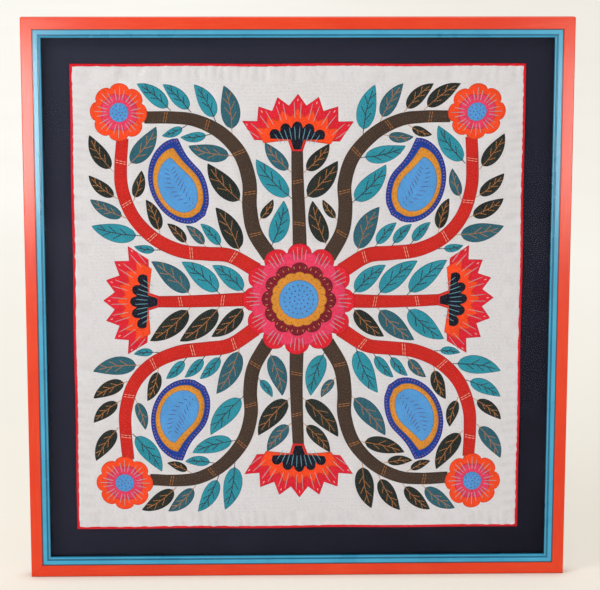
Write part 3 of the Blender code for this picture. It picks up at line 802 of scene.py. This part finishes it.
# %% [markdown]
# ## The quilted ground
#
# The ground is white cotton over thin wadding. It is quilted all over with small running
# stitches and held down along every sewn shape, so between the shapes it swells into soft
# cushions, and along the binding, where it is fuller than its edge, it gathers into puckers. A
# grid of points at 3 mm is fine enough. The height of each is the sum of those three effects.

# %% Heights of the ground
QUILT_RELIEF, PUCKER_RELIEF, PUCKER_PITCH, PUCKER_REACH = 0.0008, 0.0014, 0.062, 0.034
FINE_RELIEF, FINE_PITCH = 0.00085, 0.0165
GATHER_RELIEF, GATHER_PITCH = 0.00130, 0.034
CUSHION_RELIEF, CUSHION_REACH, CUSHION_SINK = 0.0013, 0.005, 0.0005
CRINKLE_RELIEF, CRINKLE_PITCH = 0.00020, 0.0095
EDGE_SINK, EDGE_SINK_REACH, COVERED_SINK, BARE_FROM = 0.0007, 0.004, 0.0007, 0.002
BINDING_WIDTH, UNDER_BINDING = 0.0050, 0.0012
GROUND_HALF = np.array([PANEL_WIDTH, PANEL_HEIGHT]) / 2 - BINDING_WIDTH + UNDER_BINDING
GROUND_STEP = 0.0030


def level_of(points):
    """Depth of the ground before it is quilted between the shapes."""
    x, z = points.T
    swell = np.sin(31 * x + 3 * np.sin(9 * z)) * np.sin(29 * z + 3 * np.sin(8 * x))
    height = GROUND_FRONT + QUILT_RELIEF * (swell - 1) / 2
    for distance, run, seed in ((GROUND_HALF[1] - abs(z), x, 3), (GROUND_HALF[0] - abs(x), z, 5)):
        turns = 2 * math.pi * run
        nearness = np.clip(1 - distance / PUCKER_REACH, 0, 1)
        fold = np.sin(turns / PUCKER_PITCH + 1.7 * np.sin(7 * run))
        fine = np.sin(turns / FINE_PITCH + 2.2 * np.sin(23 * run + seed) + 40 * distance)
        gathers = np.sin(turns / GATHER_PITCH + 1.9 * np.sin(17 * run + 2 * seed) + 15 * distance)
        eased = np.minimum(1, 0.35 + distance / 0.008)
        height += PUCKER_RELIEF * fold * np.sin(math.pi * np.minimum(1, nearness * 1.15))
        height += FINE_RELIEF * fine * nearness ** 0.7 * eased * (0.55 + 0.45 * np.sin(11 * run + seed))
        height += GATHER_RELIEF * gathers * nearness * eased * (0.6 + 0.4 * np.sin(8 * run - seed))
        height -= EDGE_SINK * np.clip(1 - distance / EDGE_SINK_REACH, 0, 1)
    return height


ALL_SHAPES = [shape for _, shape, _ in STEM_SHAPES] + [edge for edge, _, _ in LEAVES]
for name in ("crimson_rose", "crimson_fan", "royal_drop", "orange_rosette"):
    ALL_SHAPES += BLOOMS[name]


def clearance(points):
    """Distance of each point to the nearest sewn shape, negative under one."""
    nearest = np.full(len(points), 0.05)
    for shape in ALL_SHAPES:
        low, high = shape.min(axis=0) - 0.016, shape.max(axis=0) + 0.016
        close = np.flatnonzero(((points > low) & (points < high)).all(axis=1))
        if len(close):
            gap, _ = edge_distance(points[close], shape)
            gap = np.where(inside(points[close], shape), -gap, gap)
            nearest[close] = np.minimum(nearest[close], gap)
    return nearest


# %% [markdown]
# The rows of quilting pull shallow furrows into the cotton. They are too fine for the grid of
# points, so they go into the bump of the ground's cotton: a cosine with one turn from row to
# row, cut off below zero, makes the soft valleys. A displaced, finely divided mesh would show
# them from the side as well, but they are only a tenth of a millimetre deep.

# %% Furrows of the quilting
FIRST_ROW, ROW_PITCH, ROW_WAVE, ROW_PACE = -0.402, 0.0068, 0.0030, 21


def furrowed(material, depth):
    """Press a furrow into a cotton's bump along each row of quilting."""
    tree = material.node_tree
    bump = next(node for node in tree.nodes if node.bl_idname == "ShaderNodeBump")
    before = bump.inputs["Height"].links[0].from_socket
    x, _, z = axes_of(tree, wired(tree, "TexCoord").outputs["Object"])
    bend = calc(tree, "SINE", calc(tree, "MULTIPLY", x, ROW_PACE))
    level = calc(tree, "MULTIPLY_ADD", bend, -ROW_WAVE, calc(tree, "SUBTRACT", z, FIRST_ROW + PANEL_RISE))
    turn = calc(tree, "MULTIPLY", level, 2 * math.pi / ROW_PITCH)
    valley = calc(tree, "POWER", calc(tree, "MAXIMUM", calc(tree, "COSINE", turn), 0.0), 2.0)
    height = calc(tree, "MULTIPLY_ADD", valley, -depth, before)
    tree.links.new(height, bump.inputs["Height"])
    return material


print("rows of quilting every", ROW_PITCH * 1000, "mm")

# %% [markdown]
# In narrow gathers little light gets down between the folds, so they look darker than lamps alone
# would make them. Each point therefore stores how far it lies below its surroundings, in the same
# place where the sewn shapes store their painted edge shade, and the cotton recipe paints that shade in.
# Ray tracing finds some of this shade by itself, but at a render's few samples it is smoothed away.

# %% Make the ground
HOLLOW_REACH, FULL_HOLLOW, HOLLOW_SHADE = 2, 0.00035, 0.13


def hollows(depth, rows):
    """How far each point of a grid lies below its surroundings, from 0 to 1."""
    wide = 2 * HOLLOW_REACH + 1
    grid = np.pad(depth.reshape(rows), HOLLOW_REACH, mode="edge")
    around = sum(grid[a:a + rows[0], b:b + rows[1]] for a in range(wide) for b in range(wide))
    return np.clip((around.ravel() / wide ** 2 - depth) / FULL_HOLLOW, 0, 1)


counts = np.ceil(2 * GROUND_HALF / GROUND_STEP).astype(int)
grid_x, grid_z = (np.linspace(-half, half, count + 1) for half, count in zip(GROUND_HALF, counts))
flat = np.stack(np.meshgrid(grid_x, grid_z), axis=2).reshape(-1, 2)
gap = clearance(flat)
cushion = CUSHION_RELIEF * (1 - np.exp(-np.maximum(gap, 0) / CUSHION_REACH)) - CUSHION_SINK
depth = level_of(flat) + np.where(gap > 0, cushion, -COVERED_SINK)
depth += CRINKLE_RELIEF * crinkles(flat, 11, CRINKLE_PITCH) * (gap > BARE_FROM)
across, down = counts + 1
corner = (np.arange(down - 1)[:, None] * across + np.arange(across - 1)[None]).ravel()
faces = np.stack([corner, corner + 1, corner + 1 + across, corner + across], axis=1)
white_cotton = furrowed(cotton("white_cotton", (224, 222, 225), mottle=0.035, crease=1.8), 0.6)
shade = HOLLOW_SHADE * hollows(depth, (down, across)) * (gap > BARE_FROM)
ground = make_piece("quilted_cotton", flat, depth, faces, white_cotton, ["quilted_ground"],
                    shade)
CLOTH.append(ground)
print("ground points:", len(flat), "deepest and highest, mm:", depth.min() * 1000, depth.max() * 1000)

# %% [markdown]
# ## Sewing the shapes down
#
# All shapes of one colour go into one piece, which keeps the list of objects short. The lowest
# shapes follow the ground. The flowers lie over the ends of the stems, so their depth is read
# from what is already there, by casting a ray at it from the front at every point.

# %% The shapes on the ground
SWELL_REACH, HELD_REACH = 0.0055, 0.0022
HEM_DIMPLE, HEM_STITCH = 0.00013, 0.0046
CREASE_RELIEF, CREASE_PITCH = 0.00020, 0.013


def sewn(name, outlines, finish, below=None, thick=0.0009, crown=0.0006, seed=1, stands_for=()):
    """Sewn shapes of one colour, on the ground or on the pieces below."""
    tree = surface_of(below) if below else None
    parts_flat, parts_depth, parts_faces, parts_edge_shade, start = [], [], [], [], 0
    for number, outline in enumerate(outlines):
        flat, faces, edge = filled(outline)
        gap, foot = edge_distance(flat, edge)
        base = resting_on(tree, flat) if tree else level_of(flat) - 0.0003
        turn = np.sqrt(1 - (1 - np.minimum(gap / TURN_RADIUS, 1)) ** 2)
        swell = crown * (1 - np.exp(-(gap / SWELL_REACH) ** 2))
        held = np.exp(-gap / HELD_REACH)
        hem = HEM_DIMPLE * np.sin(foot * EDGE_STEP * 2 * math.pi / HEM_STITCH) * held * turn
        crease = CREASE_RELIEF * crinkles(flat, seed * 100 + number, CREASE_PITCH) * (1 - held)
        depth = base - TUCK + (thick + TUCK) * turn + swell + hem + crease
        parts_flat.append(flat)
        parts_depth.append(depth)
        # Painted shade along the folded edge, read by the cotton recipe as 'hem'.
        parts_edge_shade.append(np.exp(-(gap / EDGE_SHADE_WIDTH) ** 2))
        parts_faces.append(facing_front(flat, faces) + start)
        start += len(flat)
    flat, depth = np.concatenate(parts_flat), np.concatenate(parts_depth)
    piece = make_piece(name, flat, depth, np.concatenate(parts_faces), finish, stands_for,
                       np.concatenate(parts_edge_shade))
    CLOTH.append(piece)
    print(f"{name}: {len(outlines)} shapes, {len(piece.data.polygons)} triangles, "
          f"highest {depth.max() * 1000:.1f} mm")
    return piece


def nodes_like(*starts):
    """The names of the solids that start with one of the given words."""
    return sorted(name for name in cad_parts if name.startswith(starts))


red_shapes = [shape for stem, shape, _ in STEM_SHAPES if stem in ("red_stem", "level_stem")]
brown_shapes = [shape for stem, shape, _ in STEM_SHAPES if stem in ("brown_stem", "upright_stem")]
red_stems = sewn("red_stems", red_shapes, cotton("red_cotton", (206, 38, 31), 0.10, 0.7), seed=2,
                 stands_for=nodes_like("red_stem", "level_stem"))
brown_stems = sewn("brown_stems", brown_shapes, cotton("brown_cotton", (72, 56, 46), 0.14, 0.7), seed=3,
                   stands_for=nodes_like("brown_stem", "upright_stem"))

# %% The leaves
LEAF_COLOURS = {"teal": (45, 150, 170), "dark": (39, 46, 43), "petrol": (46, 101, 117)}
LEAF_CYCLE = ("teal", "dark", "teal", "petrol", "dark", "teal", "dark", "petrol")
leaf_colour = [LEAF_CYCLE[(n * 3 + n // 9) % len(LEAF_CYCLE)] for n in range(len(LEAVES))]
leaf_pieces = []
for number, (name, colour) in enumerate(LEAF_COLOURS.items()):
    chosen = [edge for (edge, _, _), own in zip(LEAVES, leaf_colour) if own == name]
    leaf_pieces.append(sewn(f"{name}_leaves", chosen, cotton(f"{name}_cotton", colour, 0.20, 1.2, 0.5),
                            crown=0.0007, seed=4 + number))

# %% The flowers, the drops and the rosettes
COTTONS = {"crimson": (230, 32, 51), "pink": (238, 62, 101), "orange": (254, 76, 32),
           "royal": (28, 63, 157), "sky": (87, 159, 224), "navy": (24, 26, 43),
           "maroon": (127, 28, 43), "mustard": (224, 147, 51)}
dyed = {name: cotton(f"{name}_cotton", colour, 0.15, 1.0, 0.3) for name, colour in COTTONS.items()}
lowest = [ground, red_stems, brown_stems, *leaf_pieces]
STACKS = {
    "rose": [("crimson_rose", "rose_petals", "crimson_cotton"), ("pink_rose", "", ""),
             ("maroon_rose", "rose_ring", "maroon_cotton"),
             ("mustard_rose", "rose_collar", "mustard_cotton"),
             ("sky_rose", "rose_eye", "sky_cotton")],
    "fan": [("crimson_fan", "carnation_fan", "crimson_cotton"), ("orange_fan", "", "orange_cotton"),
            ("navy_cup", "carnation_cup", "navy_cotton")],
    "drop": [("royal_drop", "paisley_n|paisley_s", "royal_cotton"), ("mustard_drop", "", "mustard_cotton"),
             ("sky_drop", "paisley_heart", "sky_cotton")],
    "rosette": [("orange_rosette", "rosette_petals", "orange_cotton"), ("pink_rosette", "", ""),
                ("sky_rosette", "rosette_eye", "sky_cotton")],
}
for stack, layers in STACKS.items():
    below = lowest
    for number, (name, solids, slot) in enumerate(layers):
        stood_for = nodes_like(*solids.split("|")) if solids else ()
        piece = sewn(name, BLOOMS[name], dyed[name.split("_")[0]], below, thick=0.0007, crown=0.0005,
                     seed=20 + number, stands_for=stood_for)
        below = [piece]
    print(stack, "layers:", len(layers))

# %% [markdown]
# ## The binding
#
# A narrow crimson strip is folded over the raw edge of the quilt and hemmed on both sides. It
# puckers a little at each stitch and wanders by up to 0.7 mm, because it was sewn by hand.
# Its section is a rounded bar, drawn as eight points, swept along each side and cut to a mitre in
# the corners. A bevelled curve would do the same, but could not pucker.

# %% Make the binding
BINDING_SWAY = 0.0007
SECTION = np.array([(0.0, 6.3), (0.0, 8.2), (0.5, 9.2), (1.5, 9.8),
                    (2.6, 9.95), (3.8, 9.75), (4.7, 9.3), (5.0, 8.4)]) / 1000
crimson_binding = cotton("crimson_binding", (224, 26, 42), 0.10, 0.6)
bindings = []
for quarter, side in enumerate(SIDES):
    turn = quarter * math.pi / 2
    halves = (PANEL_WIDTH / 2, PANEL_HEIGHT / 2)
    half_length, half_across = halves if quarter % 2 == 0 else halves[::-1]
    share = np.linspace(-1, 1, round(2 * half_length / 0.0025))
    along, from_edge = share[:, None], SECTION[None, :, 0]
    run = np.stack([share * half_length, share * 0 + quarter], axis=1)
    wide = 1 + 0.05 * crinkles(run, 31, 0.012)[:, None]
    tall = 0.00020 * crinkles(run, 37, 0.0075)[:, None] * (SECTION[None, :, 1] > 0.0085)
    x = along * (half_length - from_edge - 0.00015)
    z = from_edge * wide - half_across + BINDING_SWAY * np.sin(9.5 * along + 2 * turn) * (1 - along ** 2)
    cos, sin = math.cos(turn), math.sin(turn)
    flat = np.stack([x * cos + z * sin, z * cos - x * sin], axis=2)
    depth = (SECTION[None, :, 1] + tall).ravel()
    size = len(SECTION)
    corner = (np.arange(len(share) - 1)[:, None] * size + np.arange(size - 1)[None]).ravel()
    faces = np.stack([corner, corner + size, corner + size + 1, corner + 1], axis=1)
    bindings.append(make_piece(f"binding_strip_{side}", flat.reshape(-1, 2), depth, faces, crimson_binding,
                               [f"binding_{side}"]))
CLOTH += bindings
print("binding strips:", len(bindings))

# %% [markdown]
# ## Threads
#
# All embroidery here is made of single stitches: a short length of thread comes up through the
# cloth, lies on it for a few millimetres and dives back in. Stem stitch is a row of them that
# overlap, running stitch a row with gaps, a knot is a very short fat one. So one helper makes any
# number of stitches from their two ends. Each is a little tube of four sides whose ends sink into
# the cloth. A curve with a bevel would need thousands of objects.

# %% Helpers for threads
cloth_tree = surface_of(CLOTH)
THREADS = []


def embroider(name, starts, ends, width, finish, rings=3, slot=None):
    """Stitches between pairs of points, laid on the cloth."""
    starts, ends = np.asarray(starts, float), np.asarray(ends, float)
    reach = ends - starts
    length = np.linalg.norm(reach, axis=1)[:, None]
    across = np.stack([-reach[:, 1], reach[:, 0]], axis=1) / np.maximum(length, 1e-9)
    flats, depths = [], []
    for share in np.linspace(0, 1, rings):
        fat = 0.42 + 0.58 * math.sin(math.pi * share) ** 0.5 if 0 < share < 1 else 0.30
        middle = starts + reach * share
        level = depth_on(cloth_tree, middle) + width * (0.16 if 0 < share < 1 else -0.18)
        for sideways, lift in ((-1, 0), (0, 1), (1, 0), (0, -1)):
            flats.append(middle + across * sideways * fat * width / 2)
            depths.append(level + lift * fat * width * 0.38)
    number = len(starts)
    flat, depth = np.stack(flats, axis=1).reshape(-1, 2), np.stack(depths, axis=1).ravel()
    first = np.arange(number)[:, None] * rings * 4
    faces = []
    for ring in range(rings - 1):
        for side in range(4):
            near, far = ring * 4 + side, ring * 4 + (side + 1) % 4
            faces.append(np.hstack([first + near, first + far, first + far + 4, first + near + 4]))
    piece = make_piece(name, flat, depth, np.concatenate(faces), finish, ())
    THREADS.append(piece)
    print(f"{name}: {number} stitches")
    return piece


def along_line(line, stitch, gap, slip=0.0, overlap=0.0):
    """Start and end points of stitches in a row along a line, slipped to the sides in turn."""
    length = run_of(line)[-1]
    number = max(1, int((length + gap) / (stitch + gap)))
    pitch = length / number
    marks = np.arange(number) * pitch
    first, last = spots_on(line, marks - overlap), spots_on(line, marks + pitch - gap + overlap)
    reach = last - first
    sideways = np.stack([-reach[:, 1], reach[:, 0]], axis=1)
    sideways /= np.maximum(np.linalg.norm(sideways, axis=1), 1e-9)[:, None]
    return first - sideways * slip, last + sideways * slip


# %% [markdown]
# ## Veins and stalks
#
# Each leaf has a middle vein and a few side veins in stem stitch, ochre on the dark and petrol
# leaves and plum on the teal ones, and hangs on a stalk of the same thread.

# %% Embroider the leaves
VEIN_THREADS = {"ochre": ((206, 132, 58), 0.0016), "plum": ((50, 28, 40), 0.0020)}
LONG_LEAF, LONG_LEAF_VEINS, SHORT_LEAF_VEINS = 0.055, (0.20, 0.31, 0.43, 0.55, 0.67), (0.24, 0.40, 0.56)
VEIN_LEAN, VEIN_STITCH = math.radians(36), (0.0044, 0.0, 0.00012, 0.0012)


def rows_of(lines, stitch, gap, slip=0.0, overlap=0.0):
    """Stitches along several lines, joined into two lists of ends."""
    pairs = [along_line(np.asarray(line), stitch, gap, slip, overlap) for line in lines]
    return np.concatenate([a for a, _ in pairs]), np.concatenate([b for _, b in pairs])


def veins_of(spine, foot):
    """The middle vein with its stalk, and side veins that leave it in turn."""
    chord = np.linalg.norm(spine[-1] - spine[0])
    along, left = directions(spine)
    lines = [np.vstack([foot, spine[:-2]])]
    for number, share in enumerate(LONG_LEAF_VEINS if chord > LONG_LEAF else SHORT_LEAF_VEINS):
        side = 1 if number % 2 else -1
        place = share * (len(spine) - 1)
        near = int(place)
        start = spine[near] + (spine[near + 1] - spine[near]) * (place - near)
        aim = along[near] * math.cos(VEIN_LEAN) + left[near] * side * math.sin(VEIN_LEAN)
        length = chord * (0.22 - 0.12 * abs(share - 0.35))
        bow = along[near] * length * 0.10
        lines.append(np.array([start, start + aim * length * 0.5, start + aim * length + bow]))
    return lines


vein_lines = {"ochre": [], "plum": []}
for (_, spine, foot), own in zip(LEAVES, leaf_colour):
    vein_lines["plum" if own == "teal" else "ochre"] += veins_of(spine, foot)
for name, (colour, width) in VEIN_THREADS.items():
    stitches = rows_of(vein_lines[name], *VEIN_STITCH)
    embroider(f"{name}_veins", *stitches, width, thread(f"{name}_thread", colour))

# %% [markdown]
# ## Bands on the stems
#
# Pairs of thin sewn lines cross the stems every eight centimetres, pale on red, ochre on brown.
# They lean to one side and the other in turn.

# %% Embroider the stems
FIRST_BAND, BAND_PITCH, BAND_SHIFT, BAND_TILT, BAND_SHARE = 0.050, 0.078, 0.0021, 0.18, 0.96
BAND_WIDTH, BAND_STITCH = 0.0014, (0.0075, 0.0, 0.0001, 0.0012)
bands = {"pale": [], "ochre": []}
for stem, shape, middle in STEM_SHAPES:
    along, left = directions(middle)
    run = run_of(middle)
    half = BAND_SHARE * (STEMS[stem][0] + STEMS[stem][1]) / 4
    for number, at in enumerate(np.arange(FIRST_BAND, run[-1] - 0.02, BAND_PITCH)):
        for shift in (-BAND_SHIFT, BAND_SHIFT):
            near = int(np.argmin(abs(run - at - shift)))
            spot = middle[near] + along[near] * (at + shift - run[near])
            tilt = left[near] + along[near] * BAND_TILT * (-1) ** number
            band = np.array([spot - tilt * half, spot + tilt * half])
            bands["pale" if stem in ("red_stem", "level_stem") else "ochre"].append(band)
ochre_thread = bpy.data.materials["ochre_thread"]
for name, own_thread in (("pale", thread("pale_thread", (250, 206, 178))), ("ochre", ochre_thread)):
    stitches = rows_of(bands[name], *BAND_STITCH)
    embroider(f"{name}_bands", *stitches, BAND_WIDTH, own_thread)

# %% [markdown]
# ## Stitches on the flowers
#
# Long pale stitches fan out over the petals, short dashes and knots fill the rings, and each
# flower's eye is dotted. Polar coordinates place them all: an angle and two radii for a ray, an
# angle and one radius for a knot.

# %% Embroider the round flowers
RAY_WIDTH, KNOT_WIDTH, KNOT_LENGTH = 0.0014, 0.0026, 0.0030


def rays(centre, angles, inner, outer, signs=(1, 1)):
    """Stitches that point away from a centre."""
    heading = np.stack([np.cos(angles), np.sin(angles)], axis=1)
    lines = [np.asarray(centre) + heading * np.asarray(reach).reshape(-1, 1) for reach in (inner, outer)]
    return [mirrored(line, signs) for line in lines]


def knots(centre, rings, size, signs=(1, 1)):
    """Very short stitches on rings: each ring is (number, radius)."""
    pairs = []
    for number, radius in rings:
        angles = np.arange(number) * 2 * math.pi / number + radius * 90
        pairs.append(rays(centre, angles, radius - size / 2, radius + size / 2, signs))
    return [np.concatenate(ends) for ends in zip(*pairs)]


def gathered(*pairs):
    """Several lists of stitches as one."""
    return [np.concatenate(ends) for ends in zip(*pairs)]


pale_grey = thread("pale_grey_thread", (192, 198, 204))
violet = thread("violet_thread", (96, 40, 112))
yellow = thread("yellow_thread", (240, 196, 84))
aqua = thread("aqua_thread", (120, 200, 218))
white_silk = thread("white_thread", (240, 238, 236))
plum_thread = bpy.data.materials["plum_thread"]
petal = 2 * math.pi / 12
fan_out = np.concatenate([np.arange(12) * petal + shift for shift in (-0.13, -0.045, 0.045, 0.13)])
reach_out = np.repeat([0.0935, 0.0985, 0.0985, 0.0935], 12)
rose_rays = rays((0, 0), fan_out, 0.0705, reach_out)
lobe = 2 * math.pi / 8
rosette_out = np.concatenate([np.arange(8) * lobe + shift for shift in (-0.22, 0.0, 0.22)])
rosette_reach = np.repeat([0.0415, 0.0465, 0.0415], 8)
rosette_rays = [rays(CORNER_AT, rosette_out, 0.0205, rosette_reach, signs) for signs in QUARTERS.values()]
embroider("petal_rays", *gathered(rose_rays, *rosette_rays), RAY_WIDTH, pale_grey, rings=7)
small_rings = [(1, 0.0), (5, 0.0062), (10, 0.0122)]
eyes = [knots(CORNER_AT, small_rings, KNOT_LENGTH, signs) for signs in QUARTERS.values()]
large_eye = knots((0, 0), [(1, 0.0), (7, 0.0085), (13, 0.0170), (19, 0.0260)], 0.0036)
embroider("eye_knots", *gathered(large_eye, *eyes), KNOT_WIDTH, violet)
ring_dashes = rays((0, 0), np.arange(36) * math.pi / 18, 0.0555, 0.0620)
embroider("ring_dashes", *ring_dashes, RAY_WIDTH, yellow)
embroider("collar_knots", *knots((0, 0), [(24, 0.0435)], KNOT_LENGTH), 0.0015, plum_thread)

# %% Embroider the carnations and the drops
FINE_STITCH = 0.0013
DASH_PITCH, DASH_REACH = 0.0062, (0.0024, 0.0064)
TRACK_STEP, TRACK_INSET = 0.0050, 0.0040
fan_lines, tip_dashes, cup_lines = [], [], []
for at, heading in CARNATIONS:
    turn = math.radians(heading)

    def fan_ray(angles, inner, outer):
        heads = np.stack([np.cos(angles), np.sin(angles)], axis=1)
        ends = [np.array([HUB, 0.0]) + heads * reach for reach in (inner, outer)]
        return [hand_cut(turned(end * CARNATION_SIZE, turn, at)) for end in ends]

    teeth = (np.arange(7) - 3) / 7 * 2 * math.radians(58)
    fan_lines += [fan_ray(teeth + shift, 0.75, 1.04) for shift in (-0.055, 0.055)]
    tip_dashes.append(fan_ray(teeth, 1.03, 1.085))
    cup_lines.append(fan_ray((np.arange(10) - 4.5) / 5 * math.radians(39), 0.42, 0.650))
embroider("fan_rays", *gathered(*fan_lines), FINE_STITCH, pale_grey, rings=7)
embroider("tip_dashes", *gathered(*tip_dashes), 0.0018, white_silk)
embroider("cup_rays", *gathered(*cup_lines), FINE_STITCH, aqua, rings=5)

drop_dashes, heart_rows, band_dashes = [], [], []
for name, edge, middle in DROP_LINES:
    if name == "royal_drop":
        loop = evenly(edge, DASH_PITCH)
        drop_dashes.append([loop + inward_of(loop) * reach for reach in DASH_REACH])
    if name == "mustard_drop":
        fine = evenly(edge, TRACK_STEP)
        track = fine + inward_of(fine) * TRACK_INSET
        band_dashes.append([track[::2], (track + (np.roll(track, -1, axis=0) - track) * 0.55)[::2]])
    if name == "sky_drop":
        along, left = directions(middle)
        for number in range(2, len(middle) - 5, 2):
            half = 0.55 * edge_distance(middle[number:number + 1], edge)[0][0]
            for side in (-1, 1):
                start = middle[number] + left[number] * side * 0.0012
                end = start + (left[number] * side + along[number] * 0.6) * half
                heart_rows.append([start[None], end[None]])
embroider("drop_dashes", *gathered(*drop_dashes), FINE_STITCH, ochre_thread)
embroider("band_dashes", *gathered(*band_dashes), FINE_STITCH, plum_thread)
embroider("heart_rays", *gathered(*heart_rows), FINE_STITCH, violet)

# %% [markdown]
# ## Quilting
#
# Off-white running stitches in gently waving rows hold the layers of the ground together. A row is
# only sewn where the ground is bare, so every stitch is tested against the shapes first.

# %% Quilt the ground
STITCH_PITCH, STITCH_LENGTH, STITCH_WIDTH, ROW_END = 0.0054, 0.0028, 0.0009, 0.380
STRAY_ALONG, STRAY_ACROSS, STITCH_ROOM = 0.0022, 0.0014, 0.0032
chance = np.random.default_rng(8)
row_z = np.arange(FIRST_ROW, -FIRST_ROW + 0.001, ROW_PITCH)
row_x = np.arange(-ROW_END, ROW_END + 0.001, STITCH_PITCH)
spots = np.stack(np.meshgrid(row_x, row_z), axis=2)
spots[:, :, 0] += chance.uniform(-1, 1, spots.shape[:2]) * STRAY_ALONG
spots[:, :, 1] += ROW_WAVE * np.sin(spots[:, :, 0] * ROW_PACE)
spots[:, :, 1] += chance.uniform(-1, 1, spots.shape[:2]) * STRAY_ACROSS
spots = spots.reshape(-1, 2)
spots = spots[clearance(spots) > STITCH_ROOM]
slant = chance.uniform(-0.25, 0.25, len(spots)) + ROW_WAVE * ROW_PACE * np.cos(spots[:, 0] * ROW_PACE)
half_stitch = np.stack([np.cos(slant), np.sin(slant)], axis=1) * STITCH_LENGTH / 2
quilting_thread = thread("quilting_thread", (209, 207, 212))
embroider("quilting", spots - half_stitch, spots + half_stitch, STITCH_WIDTH, quilting_thread)

# %% [markdown]
# ## What is cloth, and what lies on it
#
# The ground is one sheet, stretched over the board. All the rest is sewn to it: the binding along
# its edge, the shapes, and the threads. The cell lists the pieces sewn on and counts all triangles.

# %% List what is sewn on, and count the triangles
sewn_on = [piece for piece in CLOTH if piece != ground] + THREADS
faces = sum(len(face.vertices) - 2 for piece in [ground, *sewn_on] for face in piece.data.polygons)
print("pieces sewn on:", len(sewn_on), "triangles in all:", faces)

# %% [markdown]
# ## Floor and light
#
# The panel stands on a plain pale floor, which fills the picture behind it. Light straight from
# above makes the floor nearly white, but slides past the upright panel. The panel is lit by the
# floor, by a dim even sky, and by a soft lamp at the upper left, close enough to the panel's
# plane for the puckers and turned edges to show. Two narrow lamps beside the camera put a long
# soft highlight on each upright rail. The lamps are hidden from rays that leave the cloth through
# the pane: the shadow rays already bring their light, and a few lucky hits would only speckle it.

# %% Floor
floor_mesh = bpy.data.meshes.new("floor")
FLOOR_REACH = 45.0
corners = [(x * FLOOR_REACH, y * FLOOR_REACH, 0) for x, y in ((-1, -1), (1, -1), (1, 1), (-1, 1))]
floor_mesh.from_pydata(corners, [], [(0, 1, 2, 3)])
floor = bpy.data.objects.new("floor", floor_mesh)
floor.location = (0, 0, -HALF_HEIGHT - 0.0005)
scene.collection.objects.link(floor)
material, tree, shader, place = new_finish("pale_floor", roughness=0.9)
shade = ramp(tree, grain_of(tree, place, 1.2), 0.3, 0.7)
pale = blended(tree, shade, linear(245, 243, 237), linear(248, 246, 240))
x, y, _ = axes_of(tree, place)
# Painted shade: the floor is darker towards the front and towards the right, as lamp light falling off.
painted_falloff = calc(tree, "MAXIMUM", ramp(tree, y, 5.0, -0.3, 0.0, 0.62), ramp(tree, x, -0.6, 2.0, 0.0, 0.30))
tree.links.new(blended(tree, painted_falloff, pale, linear(205, 196, 180)), shader.inputs["Base Color"])
floor_mesh.materials.append(material)

# %% Lamps
world = bpy.data.worlds.new("studio")
world.use_nodes = True
world.node_tree.nodes["Background"].inputs["Color"].default_value = (1.0, 0.995, 0.98, 1)
world.node_tree.nodes["Background"].inputs["Strength"].default_value = 0.40
scene.world = world
scene.view_settings.view_transform = "Standard"


def hung(name, kind, at, **settings):
    """A lamp at a place, hidden from rays that came through the pane."""
    lamp = bpy.data.lights.new(name, kind)
    for setting, value in settings.items():
        setattr(lamp, setting, value)
    holder = bpy.data.objects.new(name, lamp)
    holder.location = at
    holder.visible_transmission = False
    scene.collection.objects.link(holder)
    return holder


def softbox(name, at, aim, width, height, watts, tint=(1, 1, 1)):
    """A rectangular lamp that points at a place."""
    holder = hung(name, "AREA", at, shape="RECTANGLE", size=width, size_y=height, energy=watts, color=tint)
    holder.rotation_euler = (Vector(aim) - Vector(at)).to_track_quat("-Z", "Y").to_euler()
    holder.visible_camera = False


softbox("key", (-1.8, -1.5, 2.0), (-0.1, 0, 0), 1.0, 1.0, 24, (1, 0.99, 0.97))
softbox("left_strip", (-1.02, -4.3, -0.18), (-0.49, 0, 0.25), 0.30, 0.62, 21)
softbox("right_strip", (1.26, -4.3, -0.22), (0.49, 0, 0.25), 0.30, 0.62, 12)
hung("ceiling", "SUN", (0, 0, 4), energy=2.2, angle=math.radians(4)).visible_glossy = False
